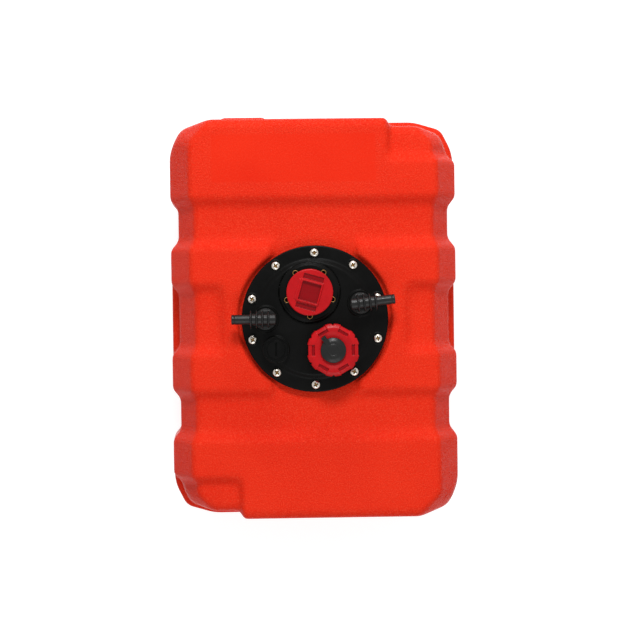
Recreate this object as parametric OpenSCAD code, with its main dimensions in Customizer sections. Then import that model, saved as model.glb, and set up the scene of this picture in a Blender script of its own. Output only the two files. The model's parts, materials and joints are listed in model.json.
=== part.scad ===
// Portable outboard fuel tank, seen in the photograph from straight above.
// Frame: millimetres, +Z up, X across the width, Y along the length.
// The origin is the centre of the underside.

/* [Tank] */
// Width over the mould seam
tank_w = 335; // [290:1:420]
// Length over the mould seam
tank_l = 460; // [400:1:600]
// Height of the raised top faces
tank_h = 215; // [170:1:270]
// Thickness of the moulded wall
wall = 4.5; // [3:0.5:6]
// Height of the mould seam, where the tank is widest
seam_z = 105; // [80:1:130]
// Draft of the walls below the seam, at the bottom
lower_draft = 6; // [2:0.5:10]
// Draft of the walls above the seam, at the shoulder
upper_draft = 3; // [1:0.5:5]
// Width in plan of the sloped facet along each long side
facet_w = 25; // [14:1:30]
// Height of that facet
facet_h = 42; // [30:1:55]
// Fillet along the top of the two ends
end_r = 12; // [8:1:16]
// Fillet along the bottom edges
floor_r = 14; // [8:1:20]
// Where the shallow bevel of a corner starts, measured from the long side
bevel_start = 47; // [40:1:55]
// Knee of the corner, measured from the long side
knee_x = 19.5; // [15:0.5:24]
// Knee of the corner, measured from the end
knee_y = 7.5; // [5:0.5:10]
// Where the corner meets the long side, measured from the end
corner_end = 38; // [30:1:46]
// Leg of the diagonal cut at the corners of the top face
top_cut = 20; // [12:1:26]
// Centre of the upright pad on the far end wall, X
pad_x = -81; // [-100:1:-60]
// Width of that pad
pad_w = 43; // [30:1:60]

/* [Relief] */
// Depth of the strap grooves, grips, corner pockets and centre strip
relief_d = 9; // [6:0.5:12]
// Distance of each strap groove's centre line from the middle
groove_y = 109; // [100:1:125]
// Width of a strap groove's floor
groove_w = 36; // [28:1:44]
// Width in plan of the sloped sides of grooves and pockets
groove_slope = 11; // [6:0.5:14]
// Width of the centre strip's floor
strip_w = 90; // [70:1:110]
// Width in plan of the centre strip's sloped sides
strip_slope = 7; // [4:0.5:10]
// Length of each hand grip's floor
grip_l = 60; // [50:1:80]
// How far each hand grip reaches in over the top, from the long side
grip_reach = 57; // [45:1:60]
// Height of a hand grip and of a corner pocket, down from the top
grip_h = 78; // [65:1:90]
// Length in X of a corner pocket, from the long side
pocket_x = 78; // [60:1:90]
// Length in Y of a corner pocket, from the end
pocket_y = 43; // [36:1:56]

/* [Flange] */
// Width of the flange's rim outside the screws' circle
flange_edge = 8.5; // [7:0.5:12]
// Thickness of the flange plate's rim
rim_t = 6; // [5:0.5:8]
// Gap between the screw heads and the foot of the raised plateau
plateau_gap = 1.5; // [0.5:0.1:3]
// Height of the plateau above the rim
plateau_h = 4; // [3:0.5:5]
// Width of the plateau's bevelled edge
plateau_bevel = 5; // [3:0.5:7]
// Thickness of the flange gasket
gasket_t = 2; // [1.5:0.5:3]
// Distance of the flange screws' circle outside the mouth
screw_land = 7.5; // [6.5:0.5:10]
// Number of flange screws
screw_n = 10; // [8:1:12]
// Thread diameter of the flange screws
screw_d = 5; // [4:0.5:5]
// Length of a flange screw under its head
screw_l = 20; // [18:1:22]
// Diameter of a flange screw's head
head_d = 10; // [9:0.5:10]
// Height of a flange screw's head
head_h = 3.4; // [2.5:0.1:4]
// Gap between the flange and the round pocket it lies in
flange_gap = 2.5; // [2:0.5:4]
// Diameter of the tank's mouth
mouth_d = 134; // [131:1:162]
// Radial clearance of the flange's collar in the mouth
mouth_gap = 0.5; // [0.3:0.1:1]

/* [Gauge port] */
// Place of the gauge port, X
gauge_x = -5.8; // [-10:0.1:0]
// Place of the gauge port, Y
gauge_y = 30; // [28:0.5:32]
// Height of the gauge boss above the plateau
gauge_boss_h = 5; // [4:0.5:7]
// Diameter of the port's bore
gauge_bore_d = 42; // [35:0.5:50]
// Distance of the gauge screws' circle outside the bore
gauge_land = 6; // [5:0.5:7]
// Width of the boss outside the gauge screws' circle
gauge_edge = 7; // [5:0.5:8]
// Outer diameter of a brass gauge insert
gauge_insert_d = 6.5; // [6:0.1:7]
// Bore of a brass gauge insert
gauge_insert_bore = 3.5; // [3:0.1:4]
// How far the gauge plug's disc laps over the edge of the bore
gauge_lap = 5.3; // [4:0.1:5.8]
// Thickness of the gauge plug's disc
gauge_disc_t = 3; // [2.5:0.5:4]
// Outer size of the square frame on the disc
frame_w = 25.5; // [20:0.5:26]
// Wall of the square frame
frame_wall = 1.9; // [1.5:0.1:2.5]
// Height of the square frame above the disc
frame_h = 2; // [1:0.5:3]
// Length of the two finger pockets beside the frame
finger_l = 23.2; // [18:0.2:26]
// Width of the two finger pockets
finger_w = 5.8; // [5:0.2:7]
// Depth of the plug's body in the port
gauge_plug_depth = 12; // [8:1:14]
// Radial gap of the plug's body in the port
gauge_plug_gap = 0.6; // [0.4:0.1:1]
// Turn of the square frame, seen from above
frame_turn = -16; // [-45:1:45]

/* [Filler] */
// Place of the filler neck, X
neck_x = 19.5; // [18:0.5:22]
// Place of the filler neck, Y
neck_y = -35; // [-36:0.5:-33]
// Bore of the filler neck
neck_bore_d = 38; // [32:0.5:46]
// Wall of the filler neck
neck_wall = 4; // [3:0.5:5]
// Height of the filler neck above the plateau
neck_h = 15; // [12:0.5:20]
// Wall of the filler cap outside the neck's thread
cap_wall = 5.2; // [4.4:0.1:6]
// Thickness of the cap's top
cap_top_t = 6; // [5:0.5:8]
// Gap of the cap round the neck's thread
cap_gap = 0.4; // [0.3:0.1:0.6]
// Height of the neck's thread ridges
thread_h = 0.9; // [0.5:0.1:1]
// Gap between the cap's skirt and the plateau
cap_foot = 1.5; // [1:0.5:3]
// Number of finger pockets round the cap
cap_pocket_n = 6; // [4:1:6]
// Width of a finger pocket
cap_pocket_w = 12; // [8:0.5:14]
// How far the finger pockets' flats lie inside the cap's rim
cap_pocket_in = 1.6; // [1:0.1:2]
// Diameter of the vent knob
knob_d = 28.6; // [26:0.2:30]
// Height of the vent knob
knob_h = 5.5; // [4:0.5:7]
// Radial gap of the vent knob in the cap's dip
knob_gap = 0.7; // [0.4:0.1:1.5]
// Reach of the knob's pointer past its edge
pointer_l = 4.7; // [3:0.1:6]
// Direction of the pointer, degrees from +X
pointer_turn = 128; // [0:1:359]
// Radius of the knob's stem
stem_r = 4; // [3:0.1:4.5]
// Radial clearance of the shafts that turn or slide
run_gap = 0.06; // [0.02:0.01:0.1]

/* [Ports] */
// Place of the supply elbow, X
supply_x = -55.9; // [-57:0.1:-54]
// Place of the supply elbow, Y
supply_y = 0.3; // [-2:0.1:2]
// Direction of the supply spigot, degrees from +X
supply_turn = 180; // [150:1:210]
// Place of the return elbow, X
return_x = 51.5; // [50:0.1:53]
// Place of the return elbow, Y
return_y = 17.1; // [15:0.1:19]
// Direction of the return spigot, degrees from +X
return_turn = 6.7; // [-20:0.1:30]
// Place of the blank plug, X
blank_x = -44.4; // [-46:0.1:-43]
// Place of the blank plug, Y
blank_y = -34.1; // [-36:0.1:-33]
// Diameter of a port's raised seat
seat_d = 30; // [28:0.5:30.5]
// Height of a port's raised seat
seat_h = 1.5; // [1:0.5:2]
// Bore of a port
port_d = 13.4; // [12:0.2:14]
// Radial clearance of a shank in its port
port_gap = 0.06; // [0.02:0.01:0.1]
// Wall of a port's boss under the plate
port_wall = 2.5; // [2:0.5:3]
// Depth of the bosses and the collar under the plate
port_boss_h = 10; // [8:1:14]
// Diameter of an elbow's hose spigot
spigot_d = 11; // [8:0.5:12]
// Length of an elbow's hose spigot
spigot_l = 21; // [18:1:26]
// Bore of the elbows and the pick-up tube
fuel_bore_d = 6; // [5:0.5:6]
// Height of the elbow's tube above its seat
elbow_h = 14; // [13:0.5:18]
// Diameter of the elbow's grip ribs
rib_d = 20; // [18:0.5:22]
// Number of grip ribs
rib_n = 4; // [3:1:5]
// Spacing of the grip ribs
rib_pitch = 6.5; // [6:0.1:7]
// Thickness of a grip rib
rib_t = 1.6; // [1.2:0.1:2]
// Diameter of the elbow's core between the ribs
core_d = 13; // [12:0.5:15]
// Reach of the elbow's closed end behind its upright leg's axis
elbow_back = 11.7; // [10:0.1:13]
// Reach of the elbow's ribbed body in front of that axis
elbow_front = 17; // [15:0.5:20]
// Thickness of the seals under the elbows and plugs
seal_t = 2; // [1.5:0.1:2.5]
// Hexagon pocket in the blank plug, across flats
hex_af = 25.4; // [21:0.1:30]
// Rim left round the corners of that pocket
hex_rim = 0.4; // [0.2:0.1:1]
// Wall of the supply elbow's tail, which the pick-up tube slides over
tail_wall = 1; // [0.8:0.1:1.5]
// Wall of the pick-up tube
tube_wall = 1.5; // [1:0.1:2]
// Diameter of the strainer
strainer_d = 22; // [18:1:30]
// Height of the strainer
strainer_l = 26; // [20:1:40]
// Gap between the strainer and the tank's floor
strainer_gap = 6; // [3:1:15]

/* [Hidden] */
$fn = 64;
// Overlap of cutters past the faces that they cut
over = 1;
// Sides of the arcs in the tank's outlines
arc_n = 5;

half_w = tank_w/2;
half_l = tank_l/2;
shoulder_z = tank_h - facet_h;
shoulder_x = half_w - upper_draft;
top_x = shoulder_x - facet_w;
top_y = half_l - upper_draft;
screw_pcd = mouth_d + 2*screw_land;
flange_d = screw_pcd + 2*flange_edge;
plateau_d = screw_pcd - head_d - 2*plateau_gap;
seat_z = tank_h - relief_d;              // floor of the relief, where the flange lies
plate_z = seat_z + gasket_t;             // underside of the flange plate
rim_z = plate_z + rim_t;                 // top of the rim, under the screw heads
plateau_z = rim_z + plateau_h;
boss_z = plateau_z + gauge_boss_h;
port_z = plateau_z + seat_h;
neck_z = plateau_z + neck_h;
facet_angle = atan2(facet_w, facet_h);   // the facet's normal, above the horizontal
insert_d = screw_d + 3;                  // brass inserts of the flange screws
insert_l = screw_l - rim_t - gasket_t + 2;
screw_hole_d = screw_d + 0.6;            // clear hole in the plate and the gasket
mouth_ring_t = insert_l + 2;             // thick ring round the mouth, under the top wall
mouth_ring_w = screw_land + insert_d/2 + wall;
collar_wall = 3;                         // wall of the collar and of the wide bores' bosses
pad_low = seam_z + 10;                   // lower and upper ends of the pad on the end wall
pad_high = tank_h - end_r - 3;

gauge_pcd = gauge_bore_d + 2*gauge_land;
gauge_boss_d = gauge_pcd + 2*gauge_edge;
gauge_disc_d = gauge_bore_d + 2*gauge_lap;
gauge_insert_l = 8;
disc_z = boss_z + seal_t;                // underside of the gauge plug's disc
plug_wall = 3;                           // wall of the gauge plug's body
plug_floor = 1.2;                        // left under the frame's window and the finger pockets
plug_rib = 1;                            // between the frame and a finger pocket

thread_t = 1;                            // half the width of a thread ridge on the neck
thread_low = 4;                          // lower ridge above the plateau, and the ridges' spacing
thread_pitch = 5;
neck_d = neck_bore_d + 2*neck_wall;
cap_skirt_r = neck_d/2 + thread_h + cap_gap;
cap_r = cap_skirt_r + cap_wall;
cap_seal_t = 2;
cap_under = neck_z + cap_seal_t;         // underside of the cap's top
cap_top = cap_under + cap_top_t;
cap_edge = 2;                            // chamfer round the cap's top
pocket_d = 3.5;                          // depth of the finger pockets in the cap's top
notch_w = 2.6;                           // side of the square notches between the pockets
dip_slope = 8.5;
dip_r = knob_d/2 + knob_gap + dip_slope; // outer radius of the cap's central dip
dip_d = 2.4;
rest_gap = 0.3;                          // between faces that only pass close to each other

knob_z = cap_top - dip_d + rest_gap;     // underside of the vent knob
knob_edge = 1;                           // chamfer round the knob
pointer_r = knob_d/2 + pointer_l;
knob_disc_r = 7;                         // low disc on the knob
knob_disc_t = 0.8;
pointer_w = 6;
pointer_tip = 2;                         // length of the raised tip of the pointer
hub_z = cap_under - 4;                   // lower end of the hub round the stem
hub_r = 8.5;
vent_hole_r = 0.8;                       // air holes round the stem
vent_circle_r = 6;
valve_pin_r = 2;                         // pin that hangs the valve in the stem
valve_r = 7.6;
valve_t = 2.4;
valve_seal_t = 1.5;
valve_z = hub_z - valve_seal_t - 0.2;    // top of the valve's disc

shank_l = 12;                            // threaded length of an elbow or plug in its port
shank_r = port_d/2 - port_gap;
tail_l = 16;                             // plain tail that the pick-up tube slides over
tail_r = fuel_bore_d/2 + tail_wall;
tube_d = 2*(tail_r + tube_wall);
foot_z = port_z + seal_t;                // underside of an elbow's foot or a plug's head
foot_t = 3;
foot_d = seat_d - 6;
seal_d = seat_d - 8;
axis_z = foot_z + elbow_h;               // axis of the elbows' spigots

blank_head_t = 4;
blank_head_d = hex_af/cos(30) + 2*hex_rim;
hex_depth = 1.8;                         // depth of the hexagon pocket
coin_disc_d = 20.6;                      // low disc in the pocket
coin_disc_down = 0.6;                    // its top, below the head's top
coin_slot = [1.5, 16, 2.6];              // width, length and depth of the coin slot

strainer_z = wall + strainer_gap;
strainer_wall = 1.5;
mesh_hole_d = 3;                         // holes round the strainer
mesh_pitch = 5;
tube_low = strainer_z + 4;               // lower end of the pick-up tube, in the strainer

// ---- outlines -------------------------------------------------------------

function unit(v) = v/norm(v);
function left_of(v) = [-v[1], v[0]];

// A convex counter-clockwise outline, each side moved in by d.
function moved_in(pts, d) = [for (i = [0:len(pts) - 1])
    let (a = pts[(i + len(pts) - 1) % len(pts)], b = pts[i], c = pts[(i + 1) % len(pts)],
         n1 = left_of(unit(b - a)), n2 = left_of(unit(c - b)))
    b + d*(n1 + n2)/(1 + n1*n2)];

// The arc that rounds corner b between a and c with radius r.
function corner_arc(a, b, c, r) =
    let (u = unit(a - b), v = unit(c - b), half = acos(u*v)/2, mid = b + unit(u + v)*r/sin(half),
         start = b + u*r/tan(half) - mid, sweep = 180 - 2*half)
    [for (i = [0:arc_n]) let (t = sweep*i/arc_n)
        mid + [start[0]*cos(t) - start[1]*sin(t), start[0]*sin(t) + start[1]*cos(t)]];

// An outline with each corner rounded by its own radius; 0 keeps it sharp.
function rounded(pts, radii) = [for (i = [0:len(pts) - 1])
    each (radii[i] > 0
        ? corner_arc(pts[(i + len(pts) - 1) % len(pts)], pts[i], pts[(i + 1) % len(pts)], radii[i])
        : [pts[i]])];

// Right half of a symmetric outline, from bottom to top, made whole.
function both_sides(half) = concat(half, [for (i = [len(half) - 1:-1:0]) [-half[i][0], half[i][1]]]);

// ---- the tank's form, moved in by d, with its underside at floor_z ---------

// Section across the width.
module front_outline(d, floor_z) {
    low = floor_z - d;
    pts = both_sides([[half_w - lower_draft, low], [half_w, seam_z], [shoulder_x, shoulder_z],
                      [top_x, tank_h]]);
    r_low = max(floor_r - d, 2);
    polygon(rounded(moved_in(pts, d), both_sides_r([r_low, 0, 8, 5])));
}

function both_sides_r(r) = concat(r, [for (i = [len(r) - 1:-1:0]) r[i]]);

// Section along the length.
module side_outline(d, floor_z) {
    low = floor_z - d;
    pts = both_sides([[half_l - lower_draft, low], [half_l, seam_z], [top_y, tank_h]]);
    polygon(rounded(moved_in(pts, d),
                    both_sides_r([max(floor_r - d, 2), 0, max(end_r - d, 2)])));
}

// Outline in plan, with the bevelled and rounded corners.
module plan_outline(d) {
    quarter = [[half_w, half_l - corner_end], [half_w - knee_x, half_l - knee_y],
               [half_w - bevel_start, half_l]];
    upper = concat(quarter, [for (i = [2:-1:0]) [-quarter[i][0], quarter[i][1]]]);
    pts = concat(upper, [for (i = [0:5]) [-upper[i][0], -upper[i][1]]]);
    r = [26, 26, 60];
    radii = concat(both_sides_r(r), both_sides_r(r));
    polygon(rounded(moved_in(pts, d), [for (v = radii) max(v - d, 8)]));
}

// Section through two opposite corners: the diagonal cut of the top face.
module corner_outline(d, floor_z) {
    wide = half_w + half_l - knee_x - knee_y;
    high = top_x + top_y - end_r/2 - top_cut;
    pts = both_sides([[wide/sqrt(2), floor_z - d], [wide/sqrt(2), shoulder_z],
                      [high/sqrt(2), tank_h]]);
    polygon(moved_in(pts, d));
}

module upright(length) rotate([90, 0, 0]) linear_extrude(length, center = true) children();

// The whole form without its relief and pad.
module block_form(d, floor_z) {
    intersection() {
        upright(tank_l + 2*over) front_outline(d, floor_z);
        rotate([0, 0, 90]) upright(tank_w + 2*over) side_outline(d, floor_z);
        rotate([0, 0, 45]) upright(tank_l + tank_w) corner_outline(d, floor_z);
        rotate([0, 0, 135]) upright(tank_l + tank_w) corner_outline(d, floor_z);
        translate([0, 0, -over]) linear_extrude(tank_h + 2*over) plan_outline(d);
    }
}

// The form that the relief is cut down to.
module core_form(d, floor_z) block_form(d + relief_d, floor_z);

// A cut across one face whose normal leans by angle from +X: its floor lies
// relief_d under the face, f wide each way, and its sides slope outwards.
module face_cut(face, angle, y, f, slope) {
    floor_n = face - relief_d;
    out = relief_d + 4*over;
    rotate([0, -angle, 0]) linear_extrude(2*tank_h + tank_w, center = true)
        polygon([[0, y - f], [floor_n, y - f], [floor_n + out, y - f - slope*out/relief_d],
                 [floor_n + out, y + f + slope*out/relief_d], [floor_n, y + f], [0, y + f]]);
}

// A cut that runs over the top, the facets and both sides.
module band_cut(d, y, width, slope) {
    f = width/2 + d;
    facet_face = shoulder_x*cos(facet_angle) + shoulder_z*sin(facet_angle) - d;
    face_cut(tank_h - d, 90, y, f, slope);
    for (side = [0, 1]) mirror([side, 0, 0]) {
        face_cut(facet_face, facet_angle, y, f, slope);
        face_cut(half_w - d, 0, y, f, slope);
    }
}

// Section of a cut that opens the top and one long side above a ledge.
module ledge_region(d, inner_x, foot_z) {
    deep = tank_h - d - relief_d;
    far = half_w + relief_d;
    polygon([[inner_x - d, foot_z - d], [inner_x - d, deep],
             [inner_x - d - groove_slope*2, deep + 2*relief_d], [far, deep + 2*relief_d],
             [far, foot_z - d - relief_d], [half_w - d - relief_d - wall, foot_z - d]]);
}

module grip_cut(d) {
    for (side = [0, 1]) mirror([side, 0, 0]) intersection() {
        band_cut(d, 0, grip_l, groove_slope);
        upright(grip_l*3) ledge_region(d, half_w - grip_reach, tank_h - grip_h);
    }
}

// Two corner pockets, at opposite corners.
module corner_pocket_cut(d) {
    for (turn = [0, 180]) rotate([0, 0, turn]) intersection() {
        upright(tank_l + 4*over) ledge_region(d, half_w - pocket_x, tank_h - grip_h);
        rotate([0, 0, 90]) upright(tank_w + 4*over) translate([half_l - half_w, 0])
            ledge_region(d, half_w - pocket_y, tank_h - grip_h);
    }
}

// The centre strip and the round pocket about the flange.
module centre_cut(d) {
    deep = seat_z - d;
    f = strip_w/2 + d;
    out = relief_d + 4*over;
    upright(2*groove_y) polygon([[-f, deep - relief_d], [f, deep - relief_d], [f, deep],
        [f + strip_slope*out/relief_d, deep + out], [-f - strip_slope*out/relief_d, deep + out],
        [-f, deep]]);
    r = flange_d/2 + flange_gap + d;
    translate([0, 0, deep - relief_d]) cylinder(r = r, h = 2*relief_d + 4*over, $fn = 96);
}

module tank_form(d, floor_z) {
    union() {
        core_form(d, floor_z);
        difference() {
            block_form(d, floor_z);
            for (y = [-groove_y, groove_y]) band_cut(d, y, groove_w, groove_slope);
            grip_cut(d);
            corner_pocket_cut(d);
            centre_cut(d);
        }
    }
}

module at_flange_screws() for (i = [0:screw_n - 1]) rotate([0, 0, 90 + 360*i/screw_n])
    translate([screw_pcd/2, 0, 0]) children();

module at_gauge_screws() translate([gauge_x, gauge_y, 0]) for (i = [0:4])
    rotate([0, 0, -90 + 72*i]) translate([gauge_pcd/2, 0, 0]) children();

// ---- the tank -------------------------------------------------------------

// The pad on the far end wall: its face is upright where the wall has draft.
module end_pad() {
    translate([pad_x - pad_w/2, half_l - wall, pad_low]) cube([pad_w, wall, pad_high - pad_low]);
}

module tank_shell() {
    color("orangered") difference() {
        union() {
            difference() {
                union() {
                    tank_form(0, 0);
                    end_pad();
                }
                tank_form(wall, wall);
            }
            translate([0, 0, seat_z - mouth_ring_t])
                cylinder(d = mouth_d + 2*mouth_ring_w, h = mouth_ring_t - wall/2);
        }
        translate([0, 0, seat_z - mouth_ring_t - over])
            cylinder(d = mouth_d, h = mouth_ring_t + 2*over);
        at_flange_screws() translate([0, 0, seat_z - insert_l])
            cylinder(d = insert_d, h = insert_l + over);
    }
}

module flange_inserts() {
    color("goldenrod") at_flange_screws() translate([0, 0, seat_z - insert_l]) difference() {
        cylinder(d = insert_d, h = insert_l);
        translate([0, 0, -over]) cylinder(d = screw_d, h = insert_l + 2*over);
    }
}

// ---- the flange -----------------------------------------------------------

module flange_gasket() {
    color("dimgray") translate([0, 0, seat_z]) difference() {
        cylinder(d = flange_d - 2, h = gasket_t);
        translate([0, 0, -over]) cylinder(d = mouth_d, h = gasket_t + 2*over);
        at_flange_screws() translate([0, 0, -over]) cylinder(d = screw_hole_d, h = gasket_t + 2*over);
    }
}

module at_ports() {
    translate([supply_x, supply_y, 0]) children();
    translate([return_x, return_y, 0]) children();
    translate([blank_x, blank_y, 0]) children();
}

module flange_plate() {
    collar_r = mouth_d/2 - mouth_gap;
    ridge_r = neck_d/2 + thread_h;
    color([0.13, 0.13, 0.12]) difference() {
        union() {
            translate([0, 0, plate_z]) cylinder(d = flange_d, h = rim_t, $fn = 96);
            translate([0, 0, rim_z])
                cylinder(d1 = plateau_d, d2 = plateau_d - 2*plateau_bevel, h = plateau_h, $fn = 96);
            translate([gauge_x, gauge_y, rim_z]) cylinder(d = gauge_boss_d, h = boss_z - rim_z);
            at_ports() translate([0, 0, rim_z]) cylinder(d = seat_d, h = port_z - rim_z);
            at_ports() translate([0, 0, plate_z - port_boss_h])
                cylinder(d = port_d + 2*port_wall, h = port_boss_h + over);
            translate([gauge_x, gauge_y, plate_z - port_boss_h])
                cylinder(d = gauge_bore_d + 2*collar_wall, h = port_boss_h + over);
            translate([neck_x, neck_y, plate_z - port_boss_h])
                cylinder(d = neck_bore_d + 2*collar_wall, h = port_boss_h + over);
            translate([neck_x, neck_y, rim_z]) cylinder(d = neck_d, h = neck_z - rim_z);
            for (i = [0, 1]) translate([neck_x, neck_y, plateau_z + thread_low + thread_pitch*i]) {
                cylinder(r1 = neck_d/2 - 0.1, r2 = ridge_r, h = thread_t);
                translate([0, 0, thread_t])
                    cylinder(r1 = ridge_r, r2 = neck_d/2 - 0.1, h = thread_t);
            }
            translate([0, 0, plate_z - port_boss_h]) difference() {
                cylinder(r = collar_r, h = port_boss_h + over);
                translate([0, 0, -over]) cylinder(r = collar_r - collar_wall, h = port_boss_h + 3*over);
            }
        }
        at_flange_screws() translate([0, 0, plate_z - over]) cylinder(d = screw_hole_d, h = rim_t + 2*over);
        translate([gauge_x, gauge_y, plate_z - port_boss_h - over])
            cylinder(d = gauge_bore_d, h = tank_h);
        at_gauge_screws() translate([0, 0, boss_z - gauge_insert_l])
            cylinder(d = gauge_insert_d, h = gauge_insert_l + over);
        translate([neck_x, neck_y, plate_z - port_boss_h - over])
            cylinder(d = neck_bore_d, h = tank_h);
        at_ports() translate([0, 0, plate_z - port_boss_h - over]) cylinder(d = port_d, h = tank_h);
    }
}

// Pan-head screws with a cross recess.
module flange_screws() {
    dome_r = head_d*0.75;
    cross = [head_d*0.55, 1.2, 1.8];     // length, width and depth of the recess
    color("silver") at_flange_screws() difference() {
        union() {
            translate([0, 0, rim_z]) rotate_extrude() intersection() {
                translate([0, head_h - dome_r]) circle(r = dome_r);
                square([head_d/2, head_h]);
            }
            translate([0, 0, rim_z - screw_l]) cylinder(d = screw_d, h = screw_l + head_h/2);
        }
        for (a = [0, 90]) rotate([0, 0, a])
            translate([-cross[0]/2, -cross[1]/2, rim_z + head_h - cross[2]])
                cube([cross[0], cross[1], cross[2] + over]);
    }
}

// ---- the gauge port -------------------------------------------------------

module gauge_inserts() {
    color("goldenrod") at_gauge_screws() translate([0, 0, boss_z - gauge_insert_l]) difference() {
        cylinder(d = gauge_insert_d, h = gauge_insert_l);
        translate([0, 0, -over]) cylinder(d = gauge_insert_bore, h = gauge_insert_l + 2*over);
    }
}

module gauge_plug_seal() {
    color("dimgray") translate([gauge_x, gauge_y, boss_z]) difference() {
        cylinder(d = gauge_pcd - gauge_insert_d - rest_gap, h = seal_t);
        translate([0, 0, -over]) cylinder(d = gauge_bore_d + rest_gap, h = seal_t + 2*over);
    }
}

module gauge_plug() {
    body_r = gauge_bore_d/2 - gauge_plug_gap;
    inside = frame_w - 2*frame_wall;
    color("crimson") translate([gauge_x, gauge_y, 0]) difference() {
        union() {
            translate([0, 0, disc_z]) cylinder(d = gauge_disc_d, h = gauge_disc_t);
            translate([0, 0, disc_z - gauge_plug_depth])
                cylinder(r = body_r, h = gauge_plug_depth + over);
            rotate([0, 0, frame_turn]) translate([-frame_w/2, -frame_w/2, disc_z])
                cube([frame_w, frame_w, gauge_disc_t + frame_h]);
        }
        translate([0, 0, disc_z - gauge_plug_depth - over])
            cylinder(r = body_r - plug_wall, h = gauge_plug_depth + over);
        rotate([0, 0, frame_turn]) {
            translate([-inside/2, -inside/2, disc_z + plug_floor])
                cube([inside, inside, gauge_disc_t + frame_h]);
            for (side = [0, 1]) mirror([0, side, 0])
                translate([-finger_l/2, frame_w/2 + plug_rib, disc_z + plug_floor])
                    cube([finger_l, finger_w, gauge_disc_t]);
        }
    }
}

// ---- the filler -----------------------------------------------------------

module cap_gasket() {
    color("dimgray") translate([neck_x, neck_y, neck_z]) difference() {
        cylinder(d = neck_d - rest_gap, h = cap_seal_t);
        translate([0, 0, -over]) cylinder(d = neck_bore_d - 2, h = cap_seal_t + 2*over);
    }
}

module filler_cap() {
    foot = plateau_z + cap_foot;
    color("crimson") translate([neck_x, neck_y, 0]) difference() {
        union() {
            translate([0, 0, foot]) cylinder(r = cap_r, h = cap_top - cap_edge - foot);
            translate([0, 0, cap_top - cap_edge])
                cylinder(r1 = cap_r, r2 = cap_r - cap_edge, h = cap_edge);
            translate([0, 0, hub_z]) cylinder(r = hub_r, h = cap_under - hub_z + over);
        }
        difference() {
            translate([0, 0, foot - over]) cylinder(r = cap_skirt_r, h = cap_under - foot + over);
            translate([0, 0, hub_z]) cylinder(r = hub_r, h = cap_under);
        }
        translate([0, 0, cap_top - dip_d])
            cylinder(r1 = dip_r - dip_slope, r2 = dip_r, h = dip_d + 0.01);
        translate([0, 0, hub_z - over]) cylinder(r = stem_r + run_gap, h = tank_h);
        for (a = [45:90:315]) rotate([0, 0, a]) translate([vent_circle_r, 0, hub_z - over])
            cylinder(r = vent_hole_r, h = tank_h);
        for (i = [0:cap_pocket_n - 1]) rotate([0, 0, 360*i/cap_pocket_n]) {
            translate([dip_r + 1, -cap_pocket_w/2, cap_top - pocket_d])
                cube([cap_r, cap_pocket_w, pocket_d + over]);
            translate([cap_r - cap_pocket_in, -cap_pocket_w/2, foot - over])
                cube([cap_r, cap_pocket_w, cap_top]);
            rotate([0, 0, 180/cap_pocket_n]) translate([cap_r, 0, foot - over]) rotate([0, 0, 45])
                translate([-notch_w/2, -notch_w/2, 0]) cube([notch_w, notch_w, cap_top]);
        }
    }
}

module vent_knob() {
    r = knob_d/2;
    pointer_z = cap_top + rest_gap;
    color([0.13, 0.13, 0.12]) translate([neck_x, neck_y, 0]) difference() {
        union() {
            translate([0, 0, knob_z]) cylinder(r = r, h = knob_h - knob_edge);
            translate([0, 0, knob_z + knob_h - knob_edge])
                cylinder(r1 = r, r2 = r - knob_edge, h = knob_edge);
            translate([0, 0, knob_z + knob_h - over])
                cylinder(r = knob_disc_r, h = knob_disc_t + over);
            translate([0, 0, hub_z]) cylinder(r = stem_r, h = knob_z - hub_z + over);
            rotate([0, 0, pointer_turn]) {
                translate([0, -pointer_w/2, pointer_z])
                    cube([pointer_r, pointer_w, knob_z + knob_h - pointer_z]);
                translate([pointer_r - pointer_tip, -pointer_w/2, pointer_z])
                    cube([pointer_tip, pointer_w, knob_z + knob_h + knob_disc_t - pointer_z]);
            }
        }
        translate([0, 0, hub_z - over])
            cylinder(r = valve_pin_r + run_gap, h = knob_z - hub_z + knob_h/2);
    }
}

module vent_valve() {
    color("dimgray") translate([neck_x, neck_y, 0]) union() {
        translate([0, 0, valve_z - valve_t]) cylinder(r = valve_r, h = valve_t);
        translate([0, 0, valve_z - over]) cylinder(r = valve_pin_r, h = knob_z - valve_z + over);
    }
}

module vent_seal() {
    color("black") translate([neck_x, neck_y, valve_z]) difference() {
        cylinder(r = valve_r - 0.2, h = valve_seal_t);
        translate([0, 0, -over]) cylinder(r = valve_pin_r, h = valve_seal_t + 2*over);
    }
}

// ---- the ports ------------------------------------------------------------

module seal_at(x, y) {
    color("black") translate([x, y, port_z]) difference() {
        cylinder(d = seal_d, h = seal_t);
        translate([0, 0, -over]) cylinder(d = port_d, h = seal_t + 2*over);
    }
}

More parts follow.
